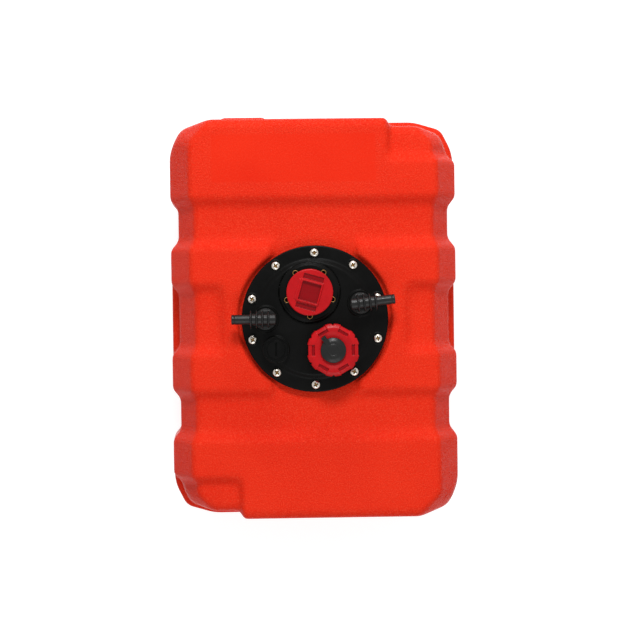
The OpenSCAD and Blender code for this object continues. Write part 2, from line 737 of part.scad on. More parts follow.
// A hose elbow: shank, foot, upright leg, ribbed body and spigot towards +X.
module elbow(tail) {
    difference() {
        union() {
            translate([0, 0, foot_z - shank_l]) cylinder(r = shank_r, h = shank_l + over);
            if (tail > 0) translate([0, 0, foot_z - shank_l - tail])
                cylinder(r = tail_r, h = tail + over);
            translate([0, 0, foot_z]) cylinder(d = foot_d, h = foot_t);
            translate([0, 0, foot_z]) cylinder(d = rib_d - 2, h = elbow_h);
            translate([-elbow_back, 0, axis_z]) rotate([0, 90, 0])
                cylinder(d = core_d, h = elbow_back + elbow_front);
            for (i = [0:rib_n - 1]) translate([elbow_front - rib_t - rib_pitch*i, 0, axis_z])
                rotate([0, 90, 0]) cylinder(d = rib_d, h = rib_t);
            translate([elbow_front - over, 0, axis_z]) rotate([0, 90, 0])
                cylinder(d = spigot_d, h = spigot_l + over);
        }
        translate([0, 0, axis_z]) rotate([0, 90, 0])
            cylinder(d = fuel_bore_d, h = elbow_front + spigot_l + over);
        translate([0, 0, foot_z - shank_l - tail - over])
            cylinder(d = fuel_bore_d, h = shank_l + tail + elbow_h + over);
    }
}

module supply_elbow() color([0.13, 0.13, 0.12])
    translate([supply_x, supply_y, 0]) rotate([0, 0, supply_turn]) elbow(tail_l);

module supply_seal() seal_at(supply_x, supply_y);

module return_elbow() color([0.13, 0.13, 0.12])
    translate([return_x, return_y, 0]) rotate([0, 0, return_turn]) elbow(0);

module return_seal() seal_at(return_x, return_y);

module pickup_tube() {
    high = foot_z - shank_l;
    color("ivory") translate([supply_x, supply_y, 0]) difference() {
        translate([0, 0, tube_low]) cylinder(d = tube_d, h = high - tube_low);
        translate([0, 0, tube_low - over]) cylinder(r = tail_r, h = high - tube_low + 2*over);
    }
}

module pickup_strainer() {
    inner_d = strainer_d - 2*strainer_wall;
    hole_top = strainer_l - strainer_wall - mesh_pitch;
    color("silver") translate([supply_x, supply_y, strainer_z]) difference() {
        cylinder(d = strainer_d, h = strainer_l);
        translate([0, 0, strainer_wall]) cylinder(d = inner_d, h = strainer_l - 3*strainer_wall);
        translate([0, 0, strainer_wall]) cylinder(d = tube_d, h = strainer_l);
        for (i = [0:5], z = [mesh_pitch + 1:mesh_pitch:hole_top]) rotate([0, 0, 60*i])
            translate([0, 0, z]) rotate([0, 90, 0]) cylinder(d = mesh_hole_d, h = strainer_d);
    }
}

module blank_plug_seal() seal_at(blank_x, blank_y);

module blank_plug() {
    head_top = foot_z + blank_head_t;
    color([0.13, 0.13, 0.12]) translate([blank_x, blank_y, 0]) difference() {
        union() {
            translate([0, 0, foot_z]) cylinder(d = blank_head_d, h = blank_head_t - hex_depth);
            difference() {
                translate([0, 0, foot_z]) cylinder(d = blank_head_d, h = blank_head_t);
                translate([0, 0, head_top - hex_depth]) rotate([0, 0, 90])
                    cylinder(d = hex_af/cos(30), h = hex_depth + over, $fn = 6);
            }
            translate([0, 0, foot_z]) cylinder(d = coin_disc_d, h = blank_head_t - coin_disc_down);
            translate([0, 0, foot_z - shank_l]) cylinder(r = shank_r, h = shank_l + over);
        }
        translate([-coin_slot[0]/2, -coin_slot[1]/2, head_top - coin_slot[2]])
            cube([coin_slot[0], coin_slot[1], coin_slot[2] + over]);
    }
}

tank_shell();
flange_inserts();
flange_gasket();
flange_plate();
flange_screws();
gauge_inserts();
gauge_plug_seal();
gauge_plug();
cap_gasket();
filler_cap();
vent_knob();
vent_valve();
vent_seal();
supply_elbow();
supply_seal();
pickup_tube();
pickup_strainer();
return_elbow();
return_seal();
blank_plug_seal();
blank_plug();
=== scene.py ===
"""Looks of a portable outboard fuel tank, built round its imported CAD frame.

Every modelled piece is a signed distance field in millimetres, in the frame of the part,
meshed on a grid and drawn onto the surface it describes. Materials are procedural.
"""
import json
import math

import bpy
import numpy as np
from mathutils import Matrix, Vector

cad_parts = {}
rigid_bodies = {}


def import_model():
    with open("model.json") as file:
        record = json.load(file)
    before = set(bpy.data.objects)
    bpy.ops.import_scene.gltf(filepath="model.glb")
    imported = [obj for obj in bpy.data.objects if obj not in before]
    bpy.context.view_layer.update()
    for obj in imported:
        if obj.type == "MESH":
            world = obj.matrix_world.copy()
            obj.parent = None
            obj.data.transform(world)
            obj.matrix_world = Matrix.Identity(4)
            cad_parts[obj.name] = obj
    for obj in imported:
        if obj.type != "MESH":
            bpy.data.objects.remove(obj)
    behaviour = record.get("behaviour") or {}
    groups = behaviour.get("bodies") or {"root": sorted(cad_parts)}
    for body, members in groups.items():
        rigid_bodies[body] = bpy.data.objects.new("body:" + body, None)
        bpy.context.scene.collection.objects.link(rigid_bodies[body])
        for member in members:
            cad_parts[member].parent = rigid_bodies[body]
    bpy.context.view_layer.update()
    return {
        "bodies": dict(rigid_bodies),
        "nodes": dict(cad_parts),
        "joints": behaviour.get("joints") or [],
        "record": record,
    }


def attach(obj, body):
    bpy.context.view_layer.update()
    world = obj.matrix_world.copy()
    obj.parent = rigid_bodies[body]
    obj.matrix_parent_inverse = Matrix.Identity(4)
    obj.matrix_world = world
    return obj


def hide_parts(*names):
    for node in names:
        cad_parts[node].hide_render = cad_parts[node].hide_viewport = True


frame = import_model()
MM = 0.001


# ---- sizes, in millimetres: the CAD model's, but a few follow the photograph closer ----

TANK_W, TANK_L, TANK_H = 335.0, 460.0, 215.0
WALL = 4.5
SEAM_Z = 105.0
LOWER_DRAFT, UPPER_DRAFT = 6.0, 3.0
FACET_W, FACET_H = 25.0, 42.0
END_R, FLOOR_R = 12.0, 14.0
BEVEL_START, KNEE_X, KNEE_Y, CORNER_END = 47.0, 14.5, 9.5, 38.0
TOP_CUT = 20.0
PAD_X, PAD_W, PAD_T, PAD_FOOT, PAD_HEAD = -79.0, 47.0, 12.0, 10.0, 3.0
RELIEF = 9.0
GROOVE_Y, GROOVE_W, STRIP_W = 109.0, 36.0, 90.0
GRIP_L, GRIP_REACH, GRIP_H = 60.0, 57.0, 78.0
POCKET_X, POCKET_Y = 78.0, 43.0
MOUTH_D, MOUTH_RING_T, MOUTH_RING_W = 134.0, 16.0, 16.0
PANEL_X, PANEL_Y = (-115.0, 71.0), (155.0, 209.0)

# how far the recesses' walls lean out between the recess floors and the block's faces
GROOVE_SLOPE, STRIP_SLOPE, RING_SLOPE = 11.0, 7.0, 3.0
POCKET_SLOPE_X, POCKET_SLOPE_Y = 7.0, 9.0
LEDGE_SLOPE = 0.4*GROOVE_SLOPE

FLANGE_D, FLANGE_GAP, GASKET_T, RIM_T = 166.0, 2.5, 2.0, 6.0
PLATEAU_D, PLATEAU_H, PLATEAU_BEVEL = 136.0, 4.0, 5.0
SCREW_PCD, SCREW_N, SCREW_FIRST = 149.0, 10, 90
SCREW_D, SCREW_L, SCREW_HOLE_D, SCREW_PITCH, SCREW_THREAD = 5.0, 20.0, 5.6, 1.6, 0.45
HEAD_D, HEAD_H = 10.0, 3.4
HEAD_DOME_R = 0.75*HEAD_D
CROSS_REACH, CROSS_HALF, CROSS_DEPTH = 3.2, 0.85, 2.1
BEAD_GAP, BEAD_HALF, BEAD_H = 1.1, 0.6, 0.6                  # the bead round each screw head
COLLAR_R, COLLAR_WALL, PORT_BOSS_H = MOUTH_D/2 - 0.5, 3.0, 10.0
BORE_WALL, PORT_WALL = 3.0, 2.5

GAUGE, GAUGE_BORE_D, GAUGE_PCD = (-5.8, 30.0), 42.0, 54.0
GAUGE_BOSS_D, GAUGE_BOSS_H, BOSS_STEP_W, BOSS_STEP_H = 68.0, 5.0, 2.6, 1.0
TRENCH_OUT, TRENCH_HALF, TRENCH_DEPTH = 0.3, 0.5, 1.2        # round the boss
INSERT_N, INSERT_FIRST, INSERT_D, INSERT_BORE, INSERT_L = 5, -90, 6.5, 4.5, 8.0
DISC_D, DISC_T, PLUG_FLOOR = 52.6, 3.0, 1.2
FRAME_W, FRAME_WALL, FRAME_H, FRAME_TURN = 25.5, 1.9, 2.0, -16.0
FINGER_L, FINGER_W, FINGER_GAP = 23.2, 5.8, 1.0
SIDE_STEP_HALF, SIDE_STEP_IN, SIDE_STEP_H = 2.6, 1.0, 0.9    # on one side of the plug's frame
PLUG_STEM_R, PLUG_STEM_L = GAUGE_BORE_D/2 - 0.6, 12.0
PLUG_HOLLOW_R, PLUG_HOLLOW_L = GAUGE_BORE_D/2 - 3.6, 20.0
SEAL_T = 2.0

NECK, NECK_BORE_D, NECK_D, NECK_H = (19.5, -35.0), 38.0, 46.0, 15.0
THREAD_H, THREAD_ROOT, THREAD_PITCH, THREAD_FOOT, THREAD_HEAD = 0.9, 0.3, 5.0, 3.0, 2.5
CAP_SKIRT_R = NECK_D/2 + THREAD_H + 0.4
CAP_R, CAP_T, CAP_GAP = CAP_SKIRT_R + 5.2, 6.0, 1.5
CAP_POCKET_N, CAP_POCKET_W, CAP_POCKET_IN, CAP_POCKET_SINK = 6, 12.0, 1.6, 0.9
CAP_SLOT_R, CAP_SLOT_HALF, CAP_SLOT_DEPTH = 22.3, 1.6, 2.4
CAP_RIM_IN, CAP_RIM_DROP, CAP_RIM_LAP = 24.6, 2.8, 0.8
NOTCH_OUT, NOTCH_HALF = 0.3, 1.5
DIP_R, DIP_SLOPE, DIP_D = 23.5, 8.5, 2.4
KNOB_D, KNOB_IN, KNOB_H, KNOB_BEVEL, KNOB_GAP = 28.6, 9.6, 5.5, 2.2, 0.3
KNOB_DISC_R, KNOB_DISC_H, DIMPLE_R, DIMPLE_H = 7.0, 0.7, 5.6, 0.25
POINTER_R, POINTER_TURN, POINTER_HALF = 19.0, 128.0, 2.8
POINTER_GAP, POINTER_DROP, TIP_HALF = 0.35, 0.1, 1.2
STEM_R, STEM_GAP, HUB_R, HUB_H, HUB_RUN = 4.0, 0.25, 8.5, 4.0, 20.0
VENT_N, VENT_FIRST, VENT_CIRCLE_R, VENT_HOLE_R = 4, 45, 6.0, 0.9

SUPPLY, SUPPLY_TURN, TAIL_L = (-55.9, 0.3), 180.0, 16.0
RETURN, RETURN_TURN = (51.5, 17.1), 6.7
BLANK = (-44.4, -34.1)
SEAT_D, SEAT_H, PORT_D = 30.0, 1.5, 13.4
SEAT_GROOVE_IN, SEAT_GROOVE_HALF, SEAT_GROOVE_DEPTH = 2.2, 0.5, 0.7
SHANK_R, SHANK_L, SHANK_PITCH, SHANK_THREAD, TAIL_R = PORT_D/2 - 0.06, 12.0, 1.8, 0.5, 4.0
FOOT_D, FOOT_T, NUT_HALF, NUT_H, AXIS_H = 24.0, 3.0, 9.8, 5.5, 14.0
CORE_R, LEG_R, RIB_R, RIB_N, RIB_PITCH, RIB_T = 6.5, 6.0, 10.0, 4, 6.5, 1.6
ELBOW_BACK, ELBOW_FRONT = 11.7, 17.0
SPIGOT_R, SPIGOT_L, FUEL_BORE_R = 5.5, 21.0, 3.0
SPIGOT_LINE_IN, SPIGOT_LINE_R = 3.4, 0.4                     # the line round its end
HEX_AF, HEX_DEPTH = 25.4, 1.8
COIN_DISC_R, COIN_DISC_DROP = 10.3, 0.6
COIN_SLOT_HALF_W, COIN_SLOT_HALF_L, COIN_SLOT_DEPTH = 0.75, 8.0, 2.6
BLANK_HEAD_T, BLANK_HEAD_D = 4.0, HEX_AF/math.cos(math.pi/6) + 0.8

# levels
SEAT_Z = TANK_H - RELIEF
PLATE_Z = SEAT_Z + GASKET_T
RIM_Z = PLATE_Z + RIM_T
PLATEAU_Z = RIM_Z + PLATEAU_H
PORT_Z = PLATEAU_Z + SEAT_H
BOSS_Z = PLATEAU_Z + GAUGE_BOSS_H
DISC_Z = BOSS_Z + SEAL_T
NECK_Z = PLATEAU_Z + NECK_H
CAP_FOOT = PLATEAU_Z + CAP_GAP
CAP_UNDER = NECK_Z + SEAL_T
CAP_TOP = CAP_UNDER + CAP_T
KNOB_Z = CAP_TOP - DIP_D + KNOB_GAP
HUB_Z = CAP_UNDER - HUB_H
FOOT_Z = PORT_Z + SEAL_T
AXIS_Z = FOOT_Z + AXIS_H

# widths over which the tank's edges and inner corners are rounded
SEAM_SOFT, FACET_SOFT, TOP_SOFT, END_SOFT = 0.3, 1.2, 5.0, 13.0
BEVEL_SOFT, CORNER_SOFT, DIAGONAL_SOFT = 2.2, 5.5, 5.0
FLOOR_SOFT = 1.17*FLOOR_R
RELIEF_EDGE, RELIEF_FOOT, RELIEF_PLAN = 2.8, 3.6, 9.0
CROSSING_SOFT, CENTRE_SOFT, STRIP_SOFT = 5.0, 3.0, 6.0
PAD_SOFT, PAD_ROOT_SOFT = 2.0, 1.0
HOLLOW_SOFT, MOUTH_RING_SOFT = 6.0, 4.0

OVERLAP = 1.0                            # how far joined forms and cuts run into each other
MOUTH_CUT = 4.0                          # how far the mouth's cut runs past its ring
SLOPE_REACH = 1.6                        # where the recesses' slopes end, in depths
FAR = 50.0                               # a distance well outside every form

# grid steps of the meshes. The tank's are across and up the relief, up its plain walls, and
# in its hollow
TANK_STEP, WALL_STEP, HOLLOW_STEP = ((2.7, 8.0, 9.0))
FLANGE_STEP, SCREW_STEP, INSERT_STEP, PLUG_STEP = 0.92, 0.32, 0.3, 0.4
CAP_STEP, KNOB_STEP, ELBOW_STEP, BLANK_STEP = 0.45, 0.32, 0.42, 0.36
GRID_BELOW, GRID_PAST = 1.5, 2.5         # a grid's margins below and above its piece, in steps
RELIEF_LOW = 112.0                       # height from which the tank's grid is fine
SKIN_ROUNDS = 6                          # rounds in which the tank's skin is drawn onto its field
MOUTH_SIDES = 160                        # sides of the mouth's cutter

# ---- colours and light -----------------------------------------------------

TANK_RED = (0.82, 0.028, 0.009)
TANK_RED_DEEP = (0.76, 0.021, 0.007)
# lighter orange, painted in specks on the grain as glints
TANK_RED_GLINT = (0.97, 0.1, 0.045)
SCUFF = (0.55, 0.1, 0.06)
BLACK = (0.002, 0.0021, 0.0019)
BLACK_LIGHT = (0.004, 0.0041, 0.0039)
CRIMSON = (0.52, 0.006, 0.009)
CRIMSON_DEEP = (0.42, 0.004, 0.007)
NYLON = (0.008, 0.0082, 0.008)
NYLON_LIGHT = (0.012, 0.0122, 0.012)
# darker crimson painted on the floors of the plug's and cap's recesses, as shade
CRIMSON_PAINTED_SHADE = (0.25, 0.0, 0.003)
# dark brown painted in the screws' cross recesses, partly a tint, partly shade
RECESS_TINT_AND_SHADE = (0.2, 0.11, 0.035)
GRAIN_MEAN = 0.68                        # mean height of the tank's grain
SUNK_SHADE = "sunk"                            # mesh attribute, 1 in recesses painted darker as shade, in the screws' crosses with a brown tint too
SKY, FLOOR_GLOW, FLOOR_GREY, FLOOR_REACH = 0.42, 0.7, 0.6, 3.0
LAMPS = (                                # name, place, target and size in metres, and power
    ("key", (0.0, 1.5, 1.7), (0, 0, 0.1), (0.7, 0.4), 29),
    ("low", (0.0, 2.05, 0.72), (0, 0, 0.2), (0.7, 0.25), 8),
    ("fill", (0.2, -1.6, 1.6), (0, 0, 0.1), (1.6, 1.0), 13),
)


# ---- distance fields -------------------------------------------------------
# The last number given to smax, smin, box_2d and column is the width of that edge's rounding.

def smax(a, b, k):
    """Intersection of two fields, its edge rounded over a width k."""
    h = np.maximum(k - np.abs(a - b), 0.0)/k
    return np.maximum(a, b) + h*h*k/4


def smin(a, b, k):
    """Union of two fields, its inner corner filled over a width k."""
    return -smax(-a, -b, k)


def plane_2d(u, v, a, b):
    """Distance from the line a-b in the plane (u, v), positive on its right hand side."""
    du, dv = b[0] - a[0], b[1] - a[1]
    n = math.hypot(du, dv)
    return ((u - a[0])*dv - (v - a[1])*du)/n


def grid_axis(low, high, step):
    return np.arange(low - GRID_BELOW*step, high + GRID_PAST*step, step)


def box_axes(low, high, step):
    return [grid_axis(low[i], high[i], step) for i in range(3)]


def surface_net(field, axes):
    """Vertices and quads of the field's zero surface on the grid of the three axes."""
    value = field(axes[0][:, None, None], axes[1][None, :, None], axes[2][None, None, :])
    value = np.ascontiguousarray(np.broadcast_to(value, [len(a) for a in axes]))
    inside = value < 0
    corners = [(i, j, k) for i in (0, 1) for j in (0, 1) for k in (0, 1)]
    shape = tuple(n - 1 for n in value.shape)

    def cells(array, corner):
        return array[tuple(slice(c, c + n) for c, n in zip(corner, shape))]

    count = sum(cells(inside, c).astype(np.int8) for c in corners)
    active = np.argwhere((count > 0) & (count < 8))
    index = np.full(shape, -1, np.int64)
    index[tuple(active.T)] = np.arange(len(active))
    total = np.zeros((len(active), 3))
    hits = np.zeros(len(active))
    for a in corners:
        for axis in range(3):
            if a[axis]:
                continue
            b = tuple(1 if i == axis else a[i] for i in range(3))
            va = value[tuple((active + a).T)]
            vb = value[tuple((active + b).T)]
            cross = (va < 0) != (vb < 0)
            t = np.where(cross, va/np.where(cross, va - vb, 1.0), 0.0)
            point = np.array(a, float) + t[:, None]*(np.array(b) - np.array(a))
            total += np.where(cross[:, None], point, 0.0)
            hits += cross
    places = active + total/hits[:, None]
    points = np.stack([np.interp(places[:, i], np.arange(len(axes[i])), axes[i]) for i in range(3)], 1)
    quads = []
    for axis in range(3):
        first = inside[tuple(slice(0, -1) if i == axis else slice(None) for i in range(3))]
        second = inside[tuple(slice(1, None) if i == axis else slice(None) for i in range(3))]
        edge = np.argwhere(first != second)
        u, v = (axis + 1) % 3, (axis + 2) % 3
        edge = edge[(edge[:, u] > 0) & (edge[:, v] > 0)
                    & (edge[:, u] < value.shape[u] - 1) & (edge[:, v] < value.shape[v] - 1)]
        ring = []
        for du, dv in ((-1, -1), (0, -1), (0, 0), (-1, 0)):
            cell = edge.copy()
            cell[:, u] += du
            cell[:, v] += dv
            ring.append(index[tuple(cell.T)])
        quad = np.stack(ring, 1)
        flip = ~first[tuple(edge.T)]
        quad[flip] = quad[flip][:, ::-1]
        quads.append(quad)
    return points, np.concatenate(quads)


def drawn_onto(field, points, step, rounds=4):
    """The points moved onto the field's zero surface along its gradient."""
    eps = 0.05*step                      # half the span over which a slope is taken
    reach = 0.4*step                     # the furthest that a point moves in one round
    least_slope = 0.5
    for _ in range(rounds):
        x, y, z = points.T
        here = field(x, y, z)
        slope = np.stack([(field(x + eps, y, z) - field(x - eps, y, z)),
                          (field(x, y + eps, z) - field(x, y - eps, z)),
                          (field(x, y, z + eps) - field(x, y, z - eps))], 1)/(2*eps)
        size = np.maximum((slope**2).sum(1), least_slope**2)
        move = -(here/size)[:, None]*slope
        length = np.linalg.norm(move, axis=1)
        move *= np.minimum(1.0, reach/np.maximum(length, 1e-9))[:, None]
        points = points + move
    return points


def mesh_of(name, points, faces):
    """A mesh object from arrays, in metres, smooth shaded. faces holds quads or triangles."""
    mesh = bpy.data.meshes.new(name)
    mesh.vertices.add(len(points))
    mesh.vertices.foreach_set("co", (points*MM).astype(np.float32).ravel())
    sides = faces.shape[1]
    mesh.loops.add(faces.size)
    mesh.loops.foreach_set("vertex_index", faces.astype(np.int32).ravel())
    mesh.polygons.add(len(faces))
    mesh.polygons.foreach_set("loop_start", np.arange(0, faces.size, sides, dtype=np.int32))
    mesh.update(calc_edges=True)
    mesh.validate()
    mesh.shade_smooth()
    thing = bpy.data.objects.new(name, mesh)
    bpy.context.scene.collection.objects.link(thing)
    return thing


def net_on(field, low, high, step):
    """Vertices drawn onto the field's surface, and their quads."""
    points, quads = surface_net(field, box_axes(low, high, step))
    return drawn_onto(field, points, step), quads


def modelled(name, field, low, high, step):
    """A piece meshed from its field."""
    return mesh_of(name, *net_on(field, low, high, step))


# ---- the tank --------------------------------------------------------------

def tank_block(x, y, z, inset=0.0):
    """The tank's form without relief, every face but the floor moved in by inset."""
    ax, ay = np.abs(x), np.abs(y)
    half_w, half_l = TANK_W/2, TANK_L/2
    shoulder = (half_w - UPPER_DRAFT, TANK_H - FACET_H)
    top_edge = (shoulder[0] - FACET_W, TANK_H)
    side = smax(plane_2d(ax, z, (half_w - LOWER_DRAFT, 0), (half_w, SEAM_Z)),
                plane_2d(ax, z, (half_w, SEAM_Z), shoulder), SEAM_SOFT)
    side = smax(side, plane_2d(ax, z, shoulder, top_edge), FACET_SOFT)
    side = smax(side, z - TANK_H, TOP_SOFT)
    end = smax(plane_2d(ay, z, (half_l - LOWER_DRAFT, 0), (half_l, SEAM_Z)),
               plane_2d(ay, z, (half_l, SEAM_Z), (half_l - UPPER_DRAFT, TANK_H)), SEAM_SOFT)
    knee = (half_w - KNEE_X, half_l - KNEE_Y)
    lean = UPPER_DRAFT*np.maximum(z - SEAM_Z, 0)/(TANK_H - SEAM_Z)
    bevel = plane_2d(ax, ay, knee, (half_w - BEVEL_START, half_l)) + lean
    corner = plane_2d(ax, ay, (half_w, half_l - CORNER_END), knee) + lean
    wide = half_w + half_l - KNEE_X - KNEE_Y
    high = top_edge[0] + half_l - UPPER_DRAFT - END_R/2 - TOP_CUT
    diagonal = plane_2d((ax + ay)/math.sqrt(2), z, (wide/math.sqrt(2), TANK_H - FACET_H),
                        (high/math.sqrt(2), TANK_H))
    body = smax(smax(side, end, END_SOFT), bevel, BEVEL_SOFT)
    body = smax(smax(body, corner, CORNER_SOFT), diagonal, DIAGONAL_SOFT) + inset
    return smax(body, -z, FLOOR_SOFT)


def relief_cuts(x, y, z, depth):
    """Union of every recess. depth is 1 on the block's faces and 0 at the recess floors."""
    def wall(distance, slope, cosine):
        """A wall that leans out by slope per depth, scaled by the cosine of its lean."""
        return (distance - slope*depth)*cosine

    ax, ay = np.abs(x), np.abs(y)
    steep = RELIEF/math.hypot(RELIEF, GROOVE_SLOPE)
    groove = wall(np.abs(ay - GROOVE_Y) - GROOVE_W/2, GROOVE_SLOPE, steep)
    ledge = wall(TANK_H - GRIP_H - z, LEDGE_SLOPE, 0.9)
    grip = smax(wall(ay - GRIP_L/2, GROOVE_SLOPE, steep),
                wall(TANK_W/2 - GRIP_REACH - ax, GROOVE_SLOPE, steep), RELIEF_PLAN)
    grip = smax(grip, ledge, RELIEF_FOOT)
    pocket = smax(wall(TANK_W/2 - POCKET_X - ax, POCKET_SLOPE_X, 0.8),
                  wall(TANK_L/2 - POCKET_Y - ay, POCKET_SLOPE_Y, 0.7), RELIEF_PLAN)
    pocket = smax(pocket, ledge, RELIEF_FOOT)
    pocket = np.where(x*y > 0, pocket, FAR)
    upper = SEAM_Z + FACET_H - z
    strip = smax(wall(ax - STRIP_W/2, STRIP_SLOPE, 0.8), ay - GROOVE_Y, STRIP_SOFT)
    ring = wall(np.hypot(x, y) - FLANGE_D/2 - FLANGE_GAP, RING_SLOPE, 0.95)
    centre = smax(smin(strip, ring, RELIEF_EDGE), upper, RELIEF_EDGE)
    return smin(smin(groove, grip, CROSSING_SOFT), smin(pocket, centre, CENTRE_SOFT), CROSSING_SOFT)


def tank_outside(x, y, z):
    """The tank's outer skin."""
    block = tank_block(x, y, z)
    core = tank_block(x, y, z, RELIEF)
    depth = np.clip(1 + block/RELIEF, 0.0, SLOPE_REACH)
    raised = smax(block, -relief_cuts(x, y, z, depth), RELIEF_EDGE)
    pad = smax(np.abs(x - PAD_X) - PAD_W/2, y - TANK_L/2 + RELIEF_EDGE/4, PAD_SOFT)
    pad = smax(pad, TANK_L/2 - PAD_T - y, PAD_ROOT_SOFT)
    pad = smax(pad, np.maximum(SEAM_Z + PAD_FOOT - z, z - TANK_H + END_R + PAD_HEAD), PAD_SOFT)
    return smin(smin(core, raised, RELIEF_FOOT), pad, RELIEF_EDGE)


def tank_inside(x, y, z):
    """The hollow, thinned to the wall, with the thick ring round the mouth left solid."""
    hollow = smax(tank_outside(x, y, z) + WALL, WALL - z, HOLLOW_SOFT)
    ring = smax(np.hypot(x, y) - MOUTH_D/2 - MOUTH_RING_W, SEAT_Z - MOUTH_RING_T - z, MOUTH_RING_SOFT)
    return smax(hollow, -ring, MOUTH_RING_SOFT)


def cut_by_cylinder(thing, radius, low, high):
    """An upright round hole through the piece, about the origin."""
    bpy.ops.mesh.primitive_cylinder_add(vertices=MOUTH_SIDES, radius=radius*MM, depth=(high - low)*MM,
                                        location=(0, 0, (low + high)/2*MM))
    cutter = bpy.context.object
    cut = thing.modifiers.new("mouth", "BOOLEAN")
    cut.operation = "DIFFERENCE"
    cut.solver = "EXACT"
    cut.object = cutter
    graph = bpy.context.evaluated_depsgraph_get()
    mesh = bpy.data.meshes.new_from_object(thing.evaluated_get(graph))
    thing.modifiers.clear()
    thing.data = mesh
    bpy.data.objects.remove(cutter)


def make_tank():
    """The hollow tank: outer skin, hollow and the round mouth."""
    low, high = (-TANK_W/2, -TANK_L/2, 0.0), (TANK_W/2, TANK_L/2, TANK_H)
    axes = box_axes(low, high, TANK_STEP)
    axes[2] = np.concatenate([grid_axis(low[2], RELIEF_LOW - 2*WALL_STEP, WALL_STEP),
                              np.arange(RELIEF_LOW, high[2] + GRID_PAST*TANK_STEP, TANK_STEP)])
    skin, skin_faces = surface_net(tank_outside, axes)
    skin = drawn_onto(tank_outside, skin, TANK_STEP, SKIN_ROUNDS)
    skin[:, 2] = np.maximum(skin[:, 2], 0.0)
    hollow, hollow_faces = net_on(tank_inside, low, high, HOLLOW_STEP)
    points = np.concatenate([skin, hollow])
    faces = np.concatenate([skin_faces, hollow_faces[:, ::-1] + len(skin)])
    tank = mesh_of("tank_shell_skin", points, faces)
    cut_by_cylinder(tank, MOUTH_D/2, SEAT_Z - MOUTH_RING_T - MOUTH_CUT, SEAT_Z + MOUTH_CUT)
    return tank


# ---- the flange ------------------------------------------------------------

def column(x, y, z, radius, low, high, edge):
    """An upright cylinder with rounded rims."""
    return smax(np.hypot(x, y) - radius, np.maximum(low - z, z - high), edge)


def turned(x, y, angle):
    """Coordinates along and across a direction given in degrees."""
    c, s = math.cos(math.radians(angle)), math.sin(math.radians(angle))
    return x*c + y*s, y*c - x*s


def folded(x, y, count, first=0.0):
    """Coordinates in the nearest of count equal sectors, radial and across, first in degrees."""
    step = 2*math.pi/count
    angle = np.arctan2(y, x) - math.radians(first)
    angle = angle - step*np.round(angle/step)
    r = np.hypot(x, y)
    return r*np.cos(angle), r*np.sin(angle)


def box_2d(u, v, half_u, half_v, edge):
    return smax(np.abs(u) - half_u, np.abs(v) - half_v, edge)


def threaded(x, y, z, radius, pitch, depth):
    """About the distance from the side of a screw thread whose crests lie at radius."""
    cosine = 0.85                        # of the flanks' mean lean
    turn = np.arctan2(y, x)/(2*math.pi)
    phase = z/pitch - turn
    dip = 0.5 - 0.5*np.cos(2*math.pi*phase)
    return (np.hypot(x, y) - radius + depth*dip)*cosine


def flange_top(x, y, z):
    """The plate's upper side: rim, plateau, boss, port seats and neck."""
    r = np.hypot(x, y)
    gx, gy = x - GAUGE[0], y - GAUGE[1]
    nx, ny = x - NECK[0], y - NECK[1]
    plate = smax(r - FLANGE_D/2, np.maximum(PLATE_Z - z, z - RIM_Z), 1.6)
    lean = PLATEAU_H/math.hypot(PLATEAU_H, PLATEAU_BEVEL)
    cone = (r - PLATEAU_D/2 + (z - RIM_Z)*PLATEAU_BEVEL/PLATEAU_H)*lean
    plateau = smax(cone, np.maximum(PLATE_Z - z, z - PLATEAU_Z), 1.2)
    body = smin(plate, plateau, 1.2)
    across, along = folded(x, y, SCREW_N, SCREW_FIRST)
    bead = np.abs(np.hypot(across - SCREW_PCD/2, along) - HEAD_D/2 - BEAD_GAP) - BEAD_HALF
    body = smin(body, smax(bead, np.maximum(RIM_Z - 2*OVERLAP - z, z - RIM_Z - BEAD_H), 0.6), 0.6)
    trench = np.abs(np.hypot(gx, gy) - GAUGE_BOSS_D/2 - TRENCH_OUT) - TRENCH_HALF
    body = smax(body, -smax(trench, np.maximum(PLATEAU_Z - TRENCH_DEPTH - z, z - BOSS_Z), 0.6), 0.7)
    body = smin(body, column(gx, gy, z, GAUGE_BOSS_D/2, RIM_Z, BOSS_Z - BOSS_STEP_H, 1.2), 0.6)
    body = smin(body, column(gx, gy, z, GAUGE_BOSS_D/2 - BOSS_STEP_W, RIM_Z, BOSS_Z, 1.0), 0.8)
    for px, py in (SUPPLY, RETURN, BLANK):
        body = smin(body, column(x - px, y - py, z, SEAT_D/2, RIM_Z, PORT_Z, 1.0), 0.8)
        groove = np.abs(np.hypot(x - px, y - py) - SEAT_D/2 + SEAT_GROOVE_IN) - SEAT_GROOVE_HALF
        levels = np.maximum(PORT_Z - SEAT_GROOVE_DEPTH - z, z - PORT_Z - 2*OVERLAP)
        body = smax(body, -smax(groove, levels, 0.3), 0.4)
    neck = smax(np.hypot(nx, ny) - NECK_D/2, np.maximum(RIM_Z - z, z - NECK_Z), 1.0)
    thread = smax(threaded(nx, ny, z, NECK_D/2 + THREAD_H, THREAD_PITCH, THREAD_H + THREAD_ROOT),
                  np.maximum(PLATEAU_Z + THREAD_FOOT - z, z - NECK_Z + THREAD_HEAD), 0.6)
    return smin(body, smin(neck, thread, 0.5), 1.2)


